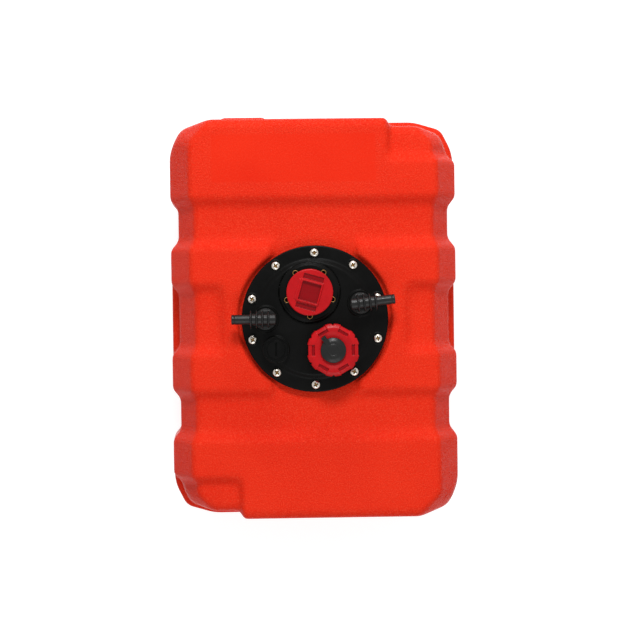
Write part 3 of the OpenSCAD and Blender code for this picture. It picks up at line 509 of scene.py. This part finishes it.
def flange_field(x, y, z):
    """The flange plate with its bores and what hangs under it."""
    low = PLATE_Z - PORT_BOSS_H
    under = np.maximum(low - z, z - PLATE_Z - OVERLAP)
    r = np.hypot(x, y)
    body = flange_top(x, y, z)
    body = smin(body, smax(np.abs(r - COLLAR_R + COLLAR_WALL/2) - COLLAR_WALL/2, under, 0.8), 0.8)
    gauge, neck = (x - GAUGE[0], y - GAUGE[1]), (x - NECK[0], y - NECK[1])
    for place, radius in ((gauge, GAUGE_BORE_D/2 + BORE_WALL), (neck, NECK_BORE_D/2 + BORE_WALL)):
        body = smin(body, smax(np.hypot(*place) - radius, under, 0.8), 0.8)
    for px, py in (SUPPLY, RETURN, BLANK):
        body = smin(body, smax(np.hypot(x - px, y - py) - PORT_D/2 - PORT_WALL, under, 0.8), 0.8)
        body = smax(body, -(np.hypot(x - px, y - py) - PORT_D/2), 0.6)
    body = smax(body, -(np.hypot(*gauge) - GAUGE_BORE_D/2), 0.8)
    body = smax(body, -(np.hypot(*neck) - NECK_BORE_D/2), 1.2)
    across, along = folded(*gauge, INSERT_N, INSERT_FIRST)
    body = smax(body, -smax(np.hypot(across - GAUGE_PCD/2, along) - INSERT_D/2,
                            BOSS_Z - INSERT_L - z, 0.2), 0.3)
    across, along = folded(x, y, SCREW_N, SCREW_FIRST)
    hole = smax(np.hypot(across - SCREW_PCD/2, along) - SCREW_HOLE_D/2, z - RIM_Z - OVERLAP, 0.3)
    return smax(body, -hole, 0.3)


def screw_field(x, y, z):
    """A pan-head screw with a cross recess, its seat at the origin."""
    reach_taper, width_taper = 0.45, 0.12
    r = np.hypot(x, y)
    dome = np.sqrt(r*r + (z - HEAD_H + HEAD_DOME_R)**2) - HEAD_DOME_R
    head = smax(smax(dome, r - HEAD_D/2, 0.9), -z, 0.6)
    depth = HEAD_H - z
    reach = CROSS_REACH - reach_taper*depth
    width = CROSS_HALF - width_taper*depth
    cross = smin(box_2d(x, y, reach, width, 0.3), box_2d(x, y, width, reach, 0.3), 0.7)
    head = smax(head, -smax(cross, depth - CROSS_DEPTH, 0.4), 0.35)
    shank = smax(threaded(x, y, z, SCREW_D/2, SCREW_PITCH, SCREW_THREAD),
                 np.maximum(-SCREW_L - z, z - OVERLAP), 0.8)
    return smin(head, shank, 0.5)


def insert_field(x, y, z):
    """A brass insert of the gauge port, its top at the origin."""
    ring = np.abs(np.hypot(x, y) - (INSERT_D + INSERT_BORE)/4) - (INSERT_D - INSERT_BORE)/4
    return smax(ring, np.maximum(-INSERT_L - z, z), 0.5)


def shade(depth, start, over):
    """0 down to the depth start, and 1 from over further down."""
    return np.clip((depth - start)/over, 0, 1)


def cross_share(x, y, z):
    """1 in a screw's cross recess, painted dark brown there, part tint and part shade; 0 on the rest of
    it.
    """
    below = HEAD_H - HEAD_DOME_R + np.sqrt(np.maximum(HEAD_DOME_R**2 - x*x - y*y, 0.0)) - z
    recess_r = 0.36*HEAD_D
    return shade(below, 0.25, 0.5)*(np.hypot(x, y) < recess_r)*(z > 0)


def marked(thing, shares):
    """The piece with a share of shade kept at each of its vertices."""
    mark = thing.data.attributes.new(SUNK_SHADE, "FLOAT", "POINT")
    mark.data.foreach_set("value", shares.astype(np.float32))
    return thing


def with_painted_shade(thing, share):
    """The piece with its recesses marked for painted shade. share is a function of x, y, z in millimetres.
    """
    places = np.empty(len(thing.data.vertices)*3, np.float32)
    thing.data.vertices.foreach_get("co", places)
    return marked(thing, share(*places.reshape(-1, 3).T.astype(float)/MM))


def repeated(name, field, low, high, step, places, sunk=None):
    """One piece that holds a copy of the same form at each (x, y, z, turn)."""
    points, faces = net_on(field, low, high, step)
    all_points, all_faces = [], []
    for i, (x, y, z, turn) in enumerate(places):
        u, v = turned(points[:, 0], points[:, 1], -turn)
        all_points.append(np.stack([u + x, v + y, points[:, 2] + z], 1))
        all_faces.append(faces + i*len(points))
    thing = mesh_of(name, np.concatenate(all_points), np.concatenate(all_faces))
    return marked(thing, np.tile(sunk(*points.T), len(places))) if sunk else thing


def round_the_centre(radius, count, first, centre, z, turns):
    """Places (x, y, z, turn) on a circle."""
    places = []
    for i in range(count):
        angle = math.radians(first + 360*i/count)
        places.append((centre[0] + radius*math.cos(angle), centre[1] + radius*math.sin(angle),
                       z, turns(i)))
    return places


def screw_turn(i):
    """Degrees by which screw i is turned, so that no two recesses stand alike."""
    return 37*i*i % 90


# ---- the gauge plug --------------------------------------------------------

def plug_shade_share(x, y, z):
    """1 on the floors of the plug's window and pockets, which are painted darker as shade."""
    u, v = turned(x - GAUGE[0], y - GAUGE[1], FRAME_TURN)
    long_side, underside = FRAME_W/2 + FINGER_GAP + FINGER_W, DISC_Z + 0.5
    inside = (np.abs(u) < FRAME_W/2) & (np.abs(v) < long_side) & (z > underside)
    return shade(DISC_Z + DISC_T - z, 0.5, 0.8)*inside


def plug_field(x, y, z):
    px, py = x - GAUGE[0], y - GAUGE[1]
    r = np.hypot(px, py)
    u, v = turned(px, py, FRAME_TURN)
    top = DISC_Z + DISC_T
    disc = smax(r - DISC_D/2, np.maximum(DISC_Z - z, z - top), 1.8)
    half = FRAME_W/2
    frame = smax(box_2d(u, v, half, half, 0.8), np.maximum(DISC_Z - z, z - top - FRAME_H), 0.9)
    step = smax(box_2d(u + half, v, SIDE_STEP_HALF, half - SIDE_STEP_IN, 0.8),
                np.maximum(DISC_Z - z, z - top - SIDE_STEP_H), 0.8)
    body = smin(smin(disc, step, 0.8), frame, 0.9)
    stem = column(px, py, z, PLUG_STEM_R, DISC_Z - PLUG_STEM_L, DISC_Z + OVERLAP, 1.0)
    body = smin(body, stem, 0.6)
    body = smax(body, -column(px, py, z, PLUG_HOLLOW_R, DISC_Z - PLUG_HOLLOW_L, DISC_Z, 1.0), 0.6)
    floor = DISC_Z + PLUG_FLOOR - z
    window = smax(box_2d(u, v, half - FRAME_WALL, half - FRAME_WALL, 0.6), floor, 0.7)
    body = smax(body, -window, 0.7)
    pocket_v = half + FINGER_GAP + FINGER_W/2
    pocket = smax(box_2d(u, np.abs(v) - pocket_v, FINGER_L/2, FINGER_W/2, 0.7), floor, 0.7)
    return smax(body, -pocket, 0.6)


# ---- the filler cap and its vent knob --------------------------------------

def cap_shade_share(x, y, z):
    """1 on the floors of the cap's slots, which are painted darker as shade."""
    margin_r, margin_side = 0.6, 0.5
    rho, side = folded(x - NECK[0], y - NECK[1], CAP_POCKET_N)
    inside = (np.abs(rho - CAP_SLOT_R) < CAP_SLOT_HALF + margin_r) & (z > CAP_UNDER)
    inside &= np.abs(side) < CAP_POCKET_W/2 + margin_side
    return shade(CAP_TOP - z, 1.3, 0.6)*inside


def cap_field(x, y, z):
    px, py = x - NECK[0], y - NECK[1]
    r = np.hypot(px, py)
    outer = smax(r - CAP_R, CAP_FOOT - z, 1.0)
    rim_slope = ((r - CAP_RIM_IN)*CAP_RIM_DROP + (z - CAP_TOP)*(CAP_R - CAP_RIM_IN))
    rim_slope = rim_slope/math.hypot(CAP_RIM_DROP, CAP_R - CAP_RIM_IN)
    rho, side = folded(px, py, CAP_POCKET_N)
    across = np.abs(side) - CAP_POCKET_W/2
    body = smax(smax(outer, z - CAP_TOP, 0.8), rim_slope, 1.6)
    body = smax(body, -smax(across, CAP_R - CAP_POCKET_IN - rho, 0.7), 0.8)
    sunk = smax(across, -(rim_slope + CAP_POCKET_SINK), 0.5)
    body = smax(body, -smax(sunk, CAP_RIM_IN - CAP_RIM_LAP - rho, 0.5), 0.6)
    slot = smax(box_2d(rho - CAP_SLOT_R, side, CAP_SLOT_HALF, CAP_POCKET_W/2, 0.8),
                CAP_TOP - CAP_SLOT_DEPTH - z, 0.9)
    body = smax(body, -slot, 0.8)
    rho, side = folded(px, py, CAP_POCKET_N, 180/CAP_POCKET_N)
    notch = (np.abs(rho - CAP_R - NOTCH_OUT) + np.abs(side))*0.707 - NOTCH_HALF
    body = smax(body, -notch, 0.6)
    dip = ((r - DIP_R)*DIP_D - (z - CAP_TOP)*DIP_SLOPE)/math.hypot(DIP_D, DIP_SLOPE)
    body = smax(body, -smax(dip, CAP_TOP - DIP_D - z, 0.8), 1.0)
    hub = column(px, py, z, HUB_R, HUB_Z, CAP_UNDER + HUB_RUN, 0.8)
    hollow = smax(smax(r - CAP_SKIRT_R, z - CAP_UNDER, 1.2), -hub, 0.8)
    body = smax(body, -hollow, 0.8)
    rho, side = folded(px, py, VENT_N, VENT_FIRST)
    holes = np.hypot(rho - VENT_CIRCLE_R, side) - VENT_HOLE_R
    body = smax(body, -holes, 0.3)
    body = smin(body, smax(hub, z - CAP_UNDER - OVERLAP, 0.5), 0.5)
    body = smax(body, -holes, 0.3)       # cut again, through the hub
    return smax(body, -(r - STEM_R - STEM_GAP), 0.4)


def knob_field(x, y, z):
    px, py = x - NECK[0], y - NECK[1]
    r = np.hypot(px, py)
    top = KNOB_Z + KNOB_H
    bevel = ((r - KNOB_IN)*KNOB_BEVEL + (z - top)*(KNOB_D/2 - KNOB_IN))
    bevel = bevel/math.hypot(KNOB_BEVEL, KNOB_D/2 - KNOB_IN)
    disc = smax(smax(r - KNOB_D/2, np.maximum(KNOB_Z - z, z - top), 0.9), bevel, 0.9)
    raised = smax(r - KNOB_DISC_R, np.maximum(KNOB_Z - z, z - top - KNOB_DISC_H), 0.7)
    dimple = smax(r - DIMPLE_R, top + DIMPLE_H - z, 0.5)
    disc = smax(smin(disc, raised, 0.5), -dimple, 0.5)
    u, v = turned(px, py, POINTER_TURN)
    low = CAP_TOP + POINTER_GAP
    pointer = smax(box_2d(u - POINTER_R/2, v, POINTER_R/2, POINTER_HALF, 0.8),
                   np.maximum(low - z, z - top + POINTER_DROP), 0.7)
    tip = smax(box_2d(u - POINTER_R + TIP_HALF, v, TIP_HALF, POINTER_HALF, 0.6),
               np.maximum(low - z, z - top - KNOB_DISC_H), 0.6)
    body = smin(smin(disc, pointer, 0.5), tip, 0.5)
    return smin(body, column(px, py, z, STEM_R, HUB_Z, KNOB_Z + OVERLAP, 0.5), 0.5)


# ---- elbows and blank plug -------------------------------------------------

def port_shank(u, v, z):
    """The threaded shank of an elbow or the blank plug."""
    return smax(threaded(u, v, z, SHANK_R, SHANK_PITCH, SHANK_THREAD),
                np.maximum(FOOT_Z - SHANK_L - z, z - FOOT_Z - OVERLAP), 0.8)


def elbow_field_at(place, turn, tail):
    """A hose elbow that stands at place and points along turn."""
    def field(x, y, z):
        u, v = turned(x - place[0], y - place[1], turn)
        w = z - AXIS_Z
        q = np.hypot(v, w)
        core = smax(q - CORE_R, np.maximum(-ELBOW_BACK - u, u - ELBOW_FRONT), 1.4)
        nearest = np.clip(np.round((ELBOW_FRONT - RIB_T/2 - u)/RIB_PITCH), 0, RIB_N - 1)
        rib_u = u - (ELBOW_FRONT - RIB_T/2 - RIB_PITCH*nearest)
        ribs = smax(q - RIB_R, np.abs(rib_u) - RIB_T/2, 0.9)
        leg = smax(np.hypot(u, v) - LEG_R, np.maximum(FOOT_Z - z, w), 1.0)
        spigot = smax(q - SPIGOT_R, np.maximum(-u, u - ELBOW_FRONT - SPIGOT_L), 1.0)
        from_line = u - ELBOW_FRONT - SPIGOT_L + SPIGOT_LINE_IN
        line = np.hypot(np.maximum(SPIGOT_R - q, 0), from_line) - SPIGOT_LINE_R
        spigot = smax(spigot, -line, 0.3)
        body = smin(smin(core, leg, 2.0), smin(ribs, spigot, 0.8), 0.8)
        foot = column(u, v, z, FOOT_D/2, FOOT_Z, FOOT_Z + FOOT_T, 1.0)
        hexagon = folded(u, v, 6, 90)[0] - NUT_HALF
        nut = smax(hexagon, np.maximum(FOOT_Z - z, z - FOOT_Z - NUT_H), 0.8)
        body = smin(body, smin(foot, nut, 0.6), 0.6)
        body = smin(body, port_shank(u, v, z), 0.4)
        if tail:
            body = smin(body, column(u, v, z, TAIL_R, FOOT_Z - SHANK_L - tail, FOOT_Z, 0.6), 0.5)
        bore = np.minimum(smax(q - FUEL_BORE_R, -u, 0.5),
                          smax(np.hypot(u, v) - FUEL_BORE_R, w, 0.5))
        return smax(body, -bore, 0.5)
    return field


def blank_field(x, y, z):
    px, py = x - BLANK[0], y - BLANK[1]
    top = FOOT_Z + BLANK_HEAD_T
    head = column(px, py, z, BLANK_HEAD_D/2, FOOT_Z, top, 1.0)
    hexagon = folded(px, py, 6)[0] - HEX_AF/2
    head = smax(head, -smax(hexagon, top - HEX_DEPTH - z, 0.4), 0.5)
    head = smin(head, column(px, py, z, COIN_DISC_R, FOOT_Z, top - COIN_DISC_DROP, 0.7), 0.4)
    slot = smax(box_2d(px, py, COIN_SLOT_HALF_W, COIN_SLOT_HALF_L, 0.4),
                top - COIN_SLOT_DEPTH - z, 0.4)
    head = smax(head, -slot, 0.4)
    return smin(head, port_shank(px, py, z), 0.4)


# ---- materials -------------------------------------------------------------

class Paint:
    """A principled material whose sockets are fed by nodes in the piece's own coordinates."""

    def __init__(self, name, color, rough, metal=0.0, specular=0.5):
        self.material = bpy.data.materials.new(name)
        self.material.use_nodes = True
        self.tree = self.material.node_tree
        self.shader = self.tree.nodes["Principled BSDF"]
        self.shader.inputs["Base Color"].default_value = (*color, 1)
        self.shader.inputs["Roughness"].default_value = rough
        self.shader.inputs["Metallic"].default_value = metal
        self.shader.inputs["Specular IOR Level"].default_value = specular
        self.coords = self.node("ShaderNodeTexCoord").outputs["Object"]

    def node(self, kind, **values):
        made = self.tree.nodes.new(kind)
        for key, value in values.items():
            setattr(made, key, value)
        return made

    def link(self, source, socket):
        self.tree.links.new(source, socket)

    def noise(self, per_metre, detail=2.0, roughness=0.5):
        made = self.node("ShaderNodeTexNoise")
        made.inputs["Scale"].default_value = per_metre
        made.inputs["Detail"].default_value = detail
        made.inputs["Roughness"].default_value = roughness
        self.link(self.coords, made.inputs["Vector"])
        return made.outputs["Fac"]

    def cells(self, per_metre):
        made = self.node("ShaderNodeTexVoronoi", feature="SMOOTH_F1")
        made.inputs["Scale"].default_value = per_metre
        self.link(self.coords, made.inputs["Vector"])
        return made.outputs["Distance"]

    def math(self, operation, a, b=0.0, c=0.0):
        made = self.node("ShaderNodeMath", operation=operation)
        for socket, value in zip(made.inputs, (a, b, c)):
            if isinstance(value, (int, float)):
                socket.default_value = value
            else:
                self.link(value, socket)
        return made.outputs[0]

    def ramp(self, fac, low, high, to_low=0.0, to_high=1.0):
        made = self.node("ShaderNodeMapRange")
        made.inputs["From Min"].default_value = low
        made.inputs["From Max"].default_value = high
        made.inputs["To Min"].default_value = to_low
        made.inputs["To Max"].default_value = to_high
        self.link(fac, made.inputs["Value"])
        return made.outputs["Result"]

    def mix(self, fac, color_a, color_b):
        made = self.node("ShaderNodeMix", data_type="RGBA")
        self.link(fac, made.inputs["Factor"])
        for socket, color in ((made.inputs[6], color_a), (made.inputs[7], color_b)):
            if isinstance(color, tuple):
                socket.default_value = (*color, 1)
            else:
                self.link(color, socket)
        return made.outputs[2]

    def axes(self):
        made = self.node("ShaderNodeSeparateXYZ")
        self.link(self.coords, made.inputs[0])
        return made.outputs

    def set(self, socket, source):
        self.link(source, self.shader.inputs[socket])

    def bump(self, height, distance_mm, strength):
        """Raises the surface by height, 0 to 1, times the distance."""
        made = self.node("ShaderNodeBump")
        made.inputs["Distance"].default_value = distance_mm*MM
        made.inputs["Strength"].default_value = strength
        self.link(height, made.inputs["Height"])
        self.set("Normal", made.outputs["Normal"])


def between(paint, value, low, high, soft):
    """1 where value, in metres, lies between low and high, with soft edges, in millimetres."""
    rise = paint.ramp(value, (low - soft)*MM, (low + soft)*MM)
    fall = paint.ramp(value, (high - soft)*MM, (high + soft)*MM, 1.0, 0.0)
    return paint.math("MULTIPLY", rise, fall)


def tank_paint():
    """Orange-red polyethylene with a moulded grain, light specks painted on it as glints, a smooth bare
    panel and a parting line.
    """
    panel_edge, panel_smooth = 1.0, 0.55
    line_half, line_edge, line_height = 0.4, 0.3, 0.6
    paint = Paint("tank_orange_red", TANK_RED, 0.25, specular=0.018)
    x, y, z = paint.axes()
    panel = paint.math("MULTIPLY", between(paint, x, *PANEL_X, panel_edge),
                       between(paint, y, *PANEL_Y, panel_edge))
    panel = paint.math("MULTIPLY", panel, paint.ramp(z, (TANK_H - 1.5)*MM, (TANK_H - 0.5)*MM))
    grainy = paint.math("SUBTRACT", 1.0, paint.math("MULTIPLY", panel, panel_smooth))
    peel = paint.noise(760, 2.0, 0.5)
    pits = paint.cells(640)
    grain = paint.math("SUBTRACT", paint.math("MULTIPLY_ADD", pits, 0.5, peel), GRAIN_MEAN)
    height = paint.math("MULTIPLY", grain, grainy)
    seam = between(paint, z, SEAM_Z - line_half, SEAM_Z + line_half, line_edge)
    height = paint.math("MULTIPLY_ADD", seam, line_height, height)
    paint.bump(height, 0.8, 1.0)
    cloud = paint.noise(9, 3.0, 0.55)
    tone = paint.mix(paint.ramp(cloud, 0.3, 0.7), TANK_RED, TANK_RED_DEEP)
    # light specks painted on the grain, standing in for glints
    painted_glint = paint.math("MULTIPLY", paint.ramp(paint.noise(800, 1.0), 0.45, 0.75), grainy)
    tone = paint.mix(paint.math("MULTIPLY", painted_glint, 0.5), tone, TANK_RED_GLINT)
    rubbed = paint.math("MULTIPLY", paint.ramp(z, 0.016, 0.003),
                        paint.ramp(paint.noise(160, 4.0), 0.5, 0.7))
    tone = paint.mix(paint.math("MULTIPLY", rubbed, 0.5), tone, SCUFF)
    paint.set("Base Color", tone)
    rough = paint.ramp(paint.noise(60, 4.0, 0.6), 0.3, 0.7, 0.17, 0.27)
    paint.set("Roughness", rough)
    return paint.material


def moulded_paint(name, color, deep, rough, specular, grain_mm, grain_per_metre, recess=None):
    """A moulded plastic with a fine grain, faint flow marks and its marked recesses painted darker as
    shade.
    """
    paint = Paint(name, color, rough, specular=specular)
    grain = paint.noise(grain_per_metre, 2.0, 0.55)
    flow = paint.noise(35, 4.0, 0.6)
    paint.bump(paint.math("MULTIPLY_ADD", flow, 0.6, grain), grain_mm, 0.8)
    tone = paint.mix(paint.ramp(flow, 0.35, 0.65), color, deep)
    # recesses marked in the mesh are painted darker, as shade
    sunk = paint.node("ShaderNodeAttribute", attribute_name=SUNK_SHADE).outputs["Fac"]
    paint.set("Base Color", paint.mix(sunk, tone, recess or deep))
    paint.set("Roughness", paint.ramp(paint.noise(220, 3.0), 0.3, 0.7, rough - 0.06, rough + 0.08))
    return paint.material


def metal_paint(name, color, rough, tarnish, tarnish_share):
    """A turned metal with faint tool marks, tarnish in patches, and its sunk places painted dark brown,
    part tint and part shade.
    """
    paint = Paint(name, color, rough, metal=1.0)
    patch = paint.ramp(paint.noise(700, 4.0, 0.65), 0.45, 0.75, 0.0, tarnish_share)
    sunk = paint.node("ShaderNodeAttribute", attribute_name=SUNK_SHADE).outputs["Fac"]
    # the sunk places are painted dark brown: partly a tint, partly shade
    paint.set("Base Color", paint.mix(sunk, paint.mix(patch, color, tarnish), RECESS_TINT_AND_SHADE))
    paint.set("Roughness", paint.ramp(paint.noise(1500, 3.0), 0.3, 0.7, rough - 0.05, rough + 0.1))
    paint.bump(paint.noise(2600, 2.0), 0.02, 0.6)
    return paint.material


def rubber_paint():
    """A dull black rubber."""
    paint = Paint("rubber_black", (0.02, 0.02, 0.02), 0.7)
    paint.set("Base Color", paint.mix(paint.noise(300, 3.0), (0.016, 0.016, 0.016), (0.028, 0.027, 0.026)))
    paint.set("Roughness", paint.ramp(paint.noise(900, 3.0), 0.3, 0.7, 0.6, 0.8))
    paint.bump(paint.noise(1800, 2.0), 0.05, 0.6)
    return paint.material


def make_materials():
    return {
        "tank_orange_red": tank_paint(),
        "flange_black": moulded_paint("flange_black", BLACK, BLACK_LIGHT, 0.36, 0.06, 0.1, 1300),
        "cap_red": moulded_paint("cap_red", CRIMSON, CRIMSON_DEEP, 0.3, 0.15, 0.06, 1500, CRIMSON_PAINTED_SHADE),
        "black_nylon": moulded_paint("black_nylon", NYLON, NYLON_LIGHT, 0.3, 0.2, 0.06, 1300),
        "screw_steel": metal_paint("screw_steel", (0.56, 0.53, 0.48), 0.24, (0.36, 0.29, 0.21), 0.5),
        "brass": metal_paint("brass", (0.3, 0.17, 0.06), 0.3, (0.16, 0.08, 0.03), 0.7),
        "rubber_black": rubber_paint(),
        "tube_natural": moulded_paint("tube_natural", (0.75, 0.7, 0.58), (0.7, 0.63, 0.48), 0.4, 0.5,
                                      0.05, 1200),
        "strainer_steel": metal_paint("strainer_steel", (0.6, 0.6, 0.58), 0.3, (0.45, 0.43, 0.4), 0.4),
    }


# ---- stage -----------------------------------------------------------------

def seen_share(nodes, links):
    """A socket that is 1 on camera, glossy and transmission rays and 0 on every other ray."""
    path = nodes.new("ShaderNodeLightPath")
    total = path.outputs["Is Camera Ray"]
    for name in ("Is Glossy Ray", "Is Transmission Ray"):
        either = nodes.new("ShaderNodeMath")
        either.operation = "MAXIMUM"
        links.new(total, either.inputs[0])
        links.new(path.outputs[name], either.inputs[1])
        total = either.outputs[0]
    return total


def scaled(nodes, links, share, strength, base):
    """share times strength, plus base."""
    made = nodes.new("ShaderNodeMath")
    made.operation = "MULTIPLY_ADD"
    links.new(share, made.inputs[0])
    made.inputs[1].default_value = strength
    made.inputs[2].default_value = base
    return made.outputs[0]


def make_floor():
    """A plain pale floor that shows white but keeps the object's shadow."""
    mesh = bpy.data.meshes.new("floor")
    corners = [(u*FLOOR_REACH, v*FLOOR_REACH, 0) for u, v in ((-1, -1), (1, -1), (1, 1), (-1, 1))]
    mesh.from_pydata(corners, [], [(0, 1, 2, 3)])
    floor = bpy.data.objects.new("floor", mesh)
    bpy.context.scene.collection.objects.link(floor)
    material = bpy.data.materials.new("floor")
    material.use_nodes = True
    nodes, links = material.node_tree.nodes, material.node_tree.links
    shader = nodes["Principled BSDF"]
    shader.inputs["Base Color"].default_value = (FLOOR_GREY, FLOOR_GREY, FLOOR_GREY, 1)
    shader.inputs["Roughness"].default_value = 0.9
    shader.inputs["Specular IOR Level"].default_value = 0.1
    glow = nodes.new("ShaderNodeEmission")
    links.new(scaled(nodes, links, seen_share(nodes, links), FLOOR_GLOW, 0.0), glow.inputs["Strength"])
    both = nodes.new("ShaderNodeAddShader")
    links.new(shader.outputs[0], both.inputs[0])
    links.new(glow.outputs[0], both.inputs[1])
    links.new(both.outputs[0], nodes["Material Output"].inputs["Surface"])
    mesh.materials.append(material)


def make_world():
    world = bpy.data.worlds.new("world")
    world.use_nodes = True
    nodes, links = world.node_tree.nodes, world.node_tree.links
    sky = nodes["Background"]
    sky.inputs["Color"].default_value = (1, 1, 1, 1)
    links.new(scaled(nodes, links, seen_share(nodes, links), 1.0 - SKY, SKY), sky.inputs["Strength"])
    bpy.context.scene.world = world


def area_light(name, place, target, size, power):
    data = bpy.data.lights.new(name, "AREA")
    data.shape = "RECTANGLE"
    data.size, data.size_y = size
    data.energy = power
    lamp = bpy.data.objects.new(name, data)
    lamp.location = place
    lamp.rotation_euler = (Vector(target) - Vector(place)).to_track_quat("-Z", "Y").to_euler()
    bpy.context.scene.collection.objects.link(lamp)


def make_camera():
    """Nearly straight above the gauge boss, with the flange's centre where the photograph has it."""
    data = bpy.data.cameras.new("camera")
    distance = 1.8                       # above the boss, metres
    aside = (-0.035, 0.03)               # the camera's place beside the flange's centre
    roll = math.radians(0.72)            # clockwise turn of the camera
    scale = 1.125                        # millimetres per pixel at the boss
    frame_px = 640
    flange_px = (315.2, 318.8)           # the flange's centre in the photograph
    data.sensor_width = 36.0
    data.lens = data.sensor_width*distance/(scale*frame_px*MM)
    camera = bpy.data.objects.new("camera", data)
    aim = Vector(((frame_px/2 - flange_px[0])*scale*MM, (flange_px[1] - frame_px/2)*scale*MM, BOSS_Z*MM))
    place = Vector((*aside, BOSS_Z*MM + distance))
    back = (place - aim).normalized()
    right = Vector((math.sin(roll), math.cos(roll), 0)).cross(back).normalized()
    camera.matrix_world = Matrix((right, back.cross(right), back)).transposed().to_4x4()
    camera.location = place
    bpy.context.scene.collection.objects.link(camera)
    bpy.context.scene.camera = camera


# ---- the whole -------------------------------------------------------------

def around(place, reach, low, high):
    """Box of a piece about an upright axis."""
    return (place[0] - reach, place[1] - reach, low), (place[0] + reach, place[1] + reach, high)


def add(piece, node, body, slot, finish=None):
    """The piece stands for a CAD node, rides on its body and takes the slot's finish or its own."""
    piece.data.materials.clear()
    piece.data.materials.append(materials[finish or slot])
    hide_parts(node)
    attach(piece, body)


bpy.context.scene.view_settings.view_transform = "Standard"
make_camera()
make_floor()
make_world()
for lamp in LAMPS:
    area_light(*lamp)
materials = make_materials()

add(make_tank(), "tank_shell", "tank", "tank_orange_red")
add(modelled("flange_plate_moulding", flange_field,
             *around((0, 0), FLANGE_D/2, PLATE_Z - PORT_BOSS_H, NECK_Z), FLANGE_STEP),
    "flange_plate", "tank", "flange_black")
screw_places = round_the_centre(SCREW_PCD/2, SCREW_N, SCREW_FIRST, (0, 0), RIM_Z, screw_turn)
add(repeated("flange_screw_set", screw_field, *around((0, 0), HEAD_D/2, -SCREW_L, HEAD_H),
             SCREW_STEP, screw_places, cross_share),
    "flange_screws", "tank", "screw_steel")
insert_places = round_the_centre(GAUGE_PCD/2, INSERT_N, INSERT_FIRST, GAUGE, BOSS_Z, lambda i: 0)
add(repeated("gauge_insert_set", insert_field, *around((0, 0), INSERT_D/2, -INSERT_L, 0),
             INSERT_STEP, insert_places),
    "gauge_inserts", "tank", "brass")
plug = modelled("gauge_plug_moulding", plug_field,
                *around(GAUGE, DISC_D/2, DISC_Z - PLUG_STEM_L, DISC_Z + DISC_T + FRAME_H), PLUG_STEP)
add(with_painted_shade(plug, plug_shade_share), "gauge_plug", "gauge_plug", "cap_red")
cap = modelled("filler_cap_moulding", cap_field, *around(NECK, CAP_R, CAP_FOOT, CAP_TOP), CAP_STEP)
add(with_painted_shade(cap, cap_shade_share), "filler_cap", "cap", "cap_red")
add(modelled("vent_knob_moulding", knob_field,
             *around(NECK, POINTER_R, HUB_Z, KNOB_Z + KNOB_H + OVERLAP), KNOB_STEP),
    "vent_knob", "vent_knob", "flange_black", "black_nylon")
for side, place, turn, tail in (("supply", SUPPLY, SUPPLY_TURN, TAIL_L),
                                ("return", RETURN, RETURN_TURN, 0)):
    add(modelled(side + "_elbow_moulding", elbow_field_at(place, turn, tail),
                 *around(place, ELBOW_FRONT + SPIGOT_L, FOOT_Z - SHANK_L - tail, AXIS_Z + RIB_R),
                 ELBOW_STEP),
        side + "_elbow", side, "flange_black", "black_nylon")
add(modelled("blank_plug_moulding", blank_field,
             *around(BLANK, BLANK_HEAD_D/2, FOOT_Z - SHANK_L, FOOT_Z + BLANK_HEAD_T), BLANK_STEP),
    "blank_plug", "blank_plug", "flange_black")

for part in frame["record"]["subparts"]:
    thing = frame["nodes"][part["node"]]
    for slot in thing.material_slots:
        slot.material = materials[part["material_slot"]]
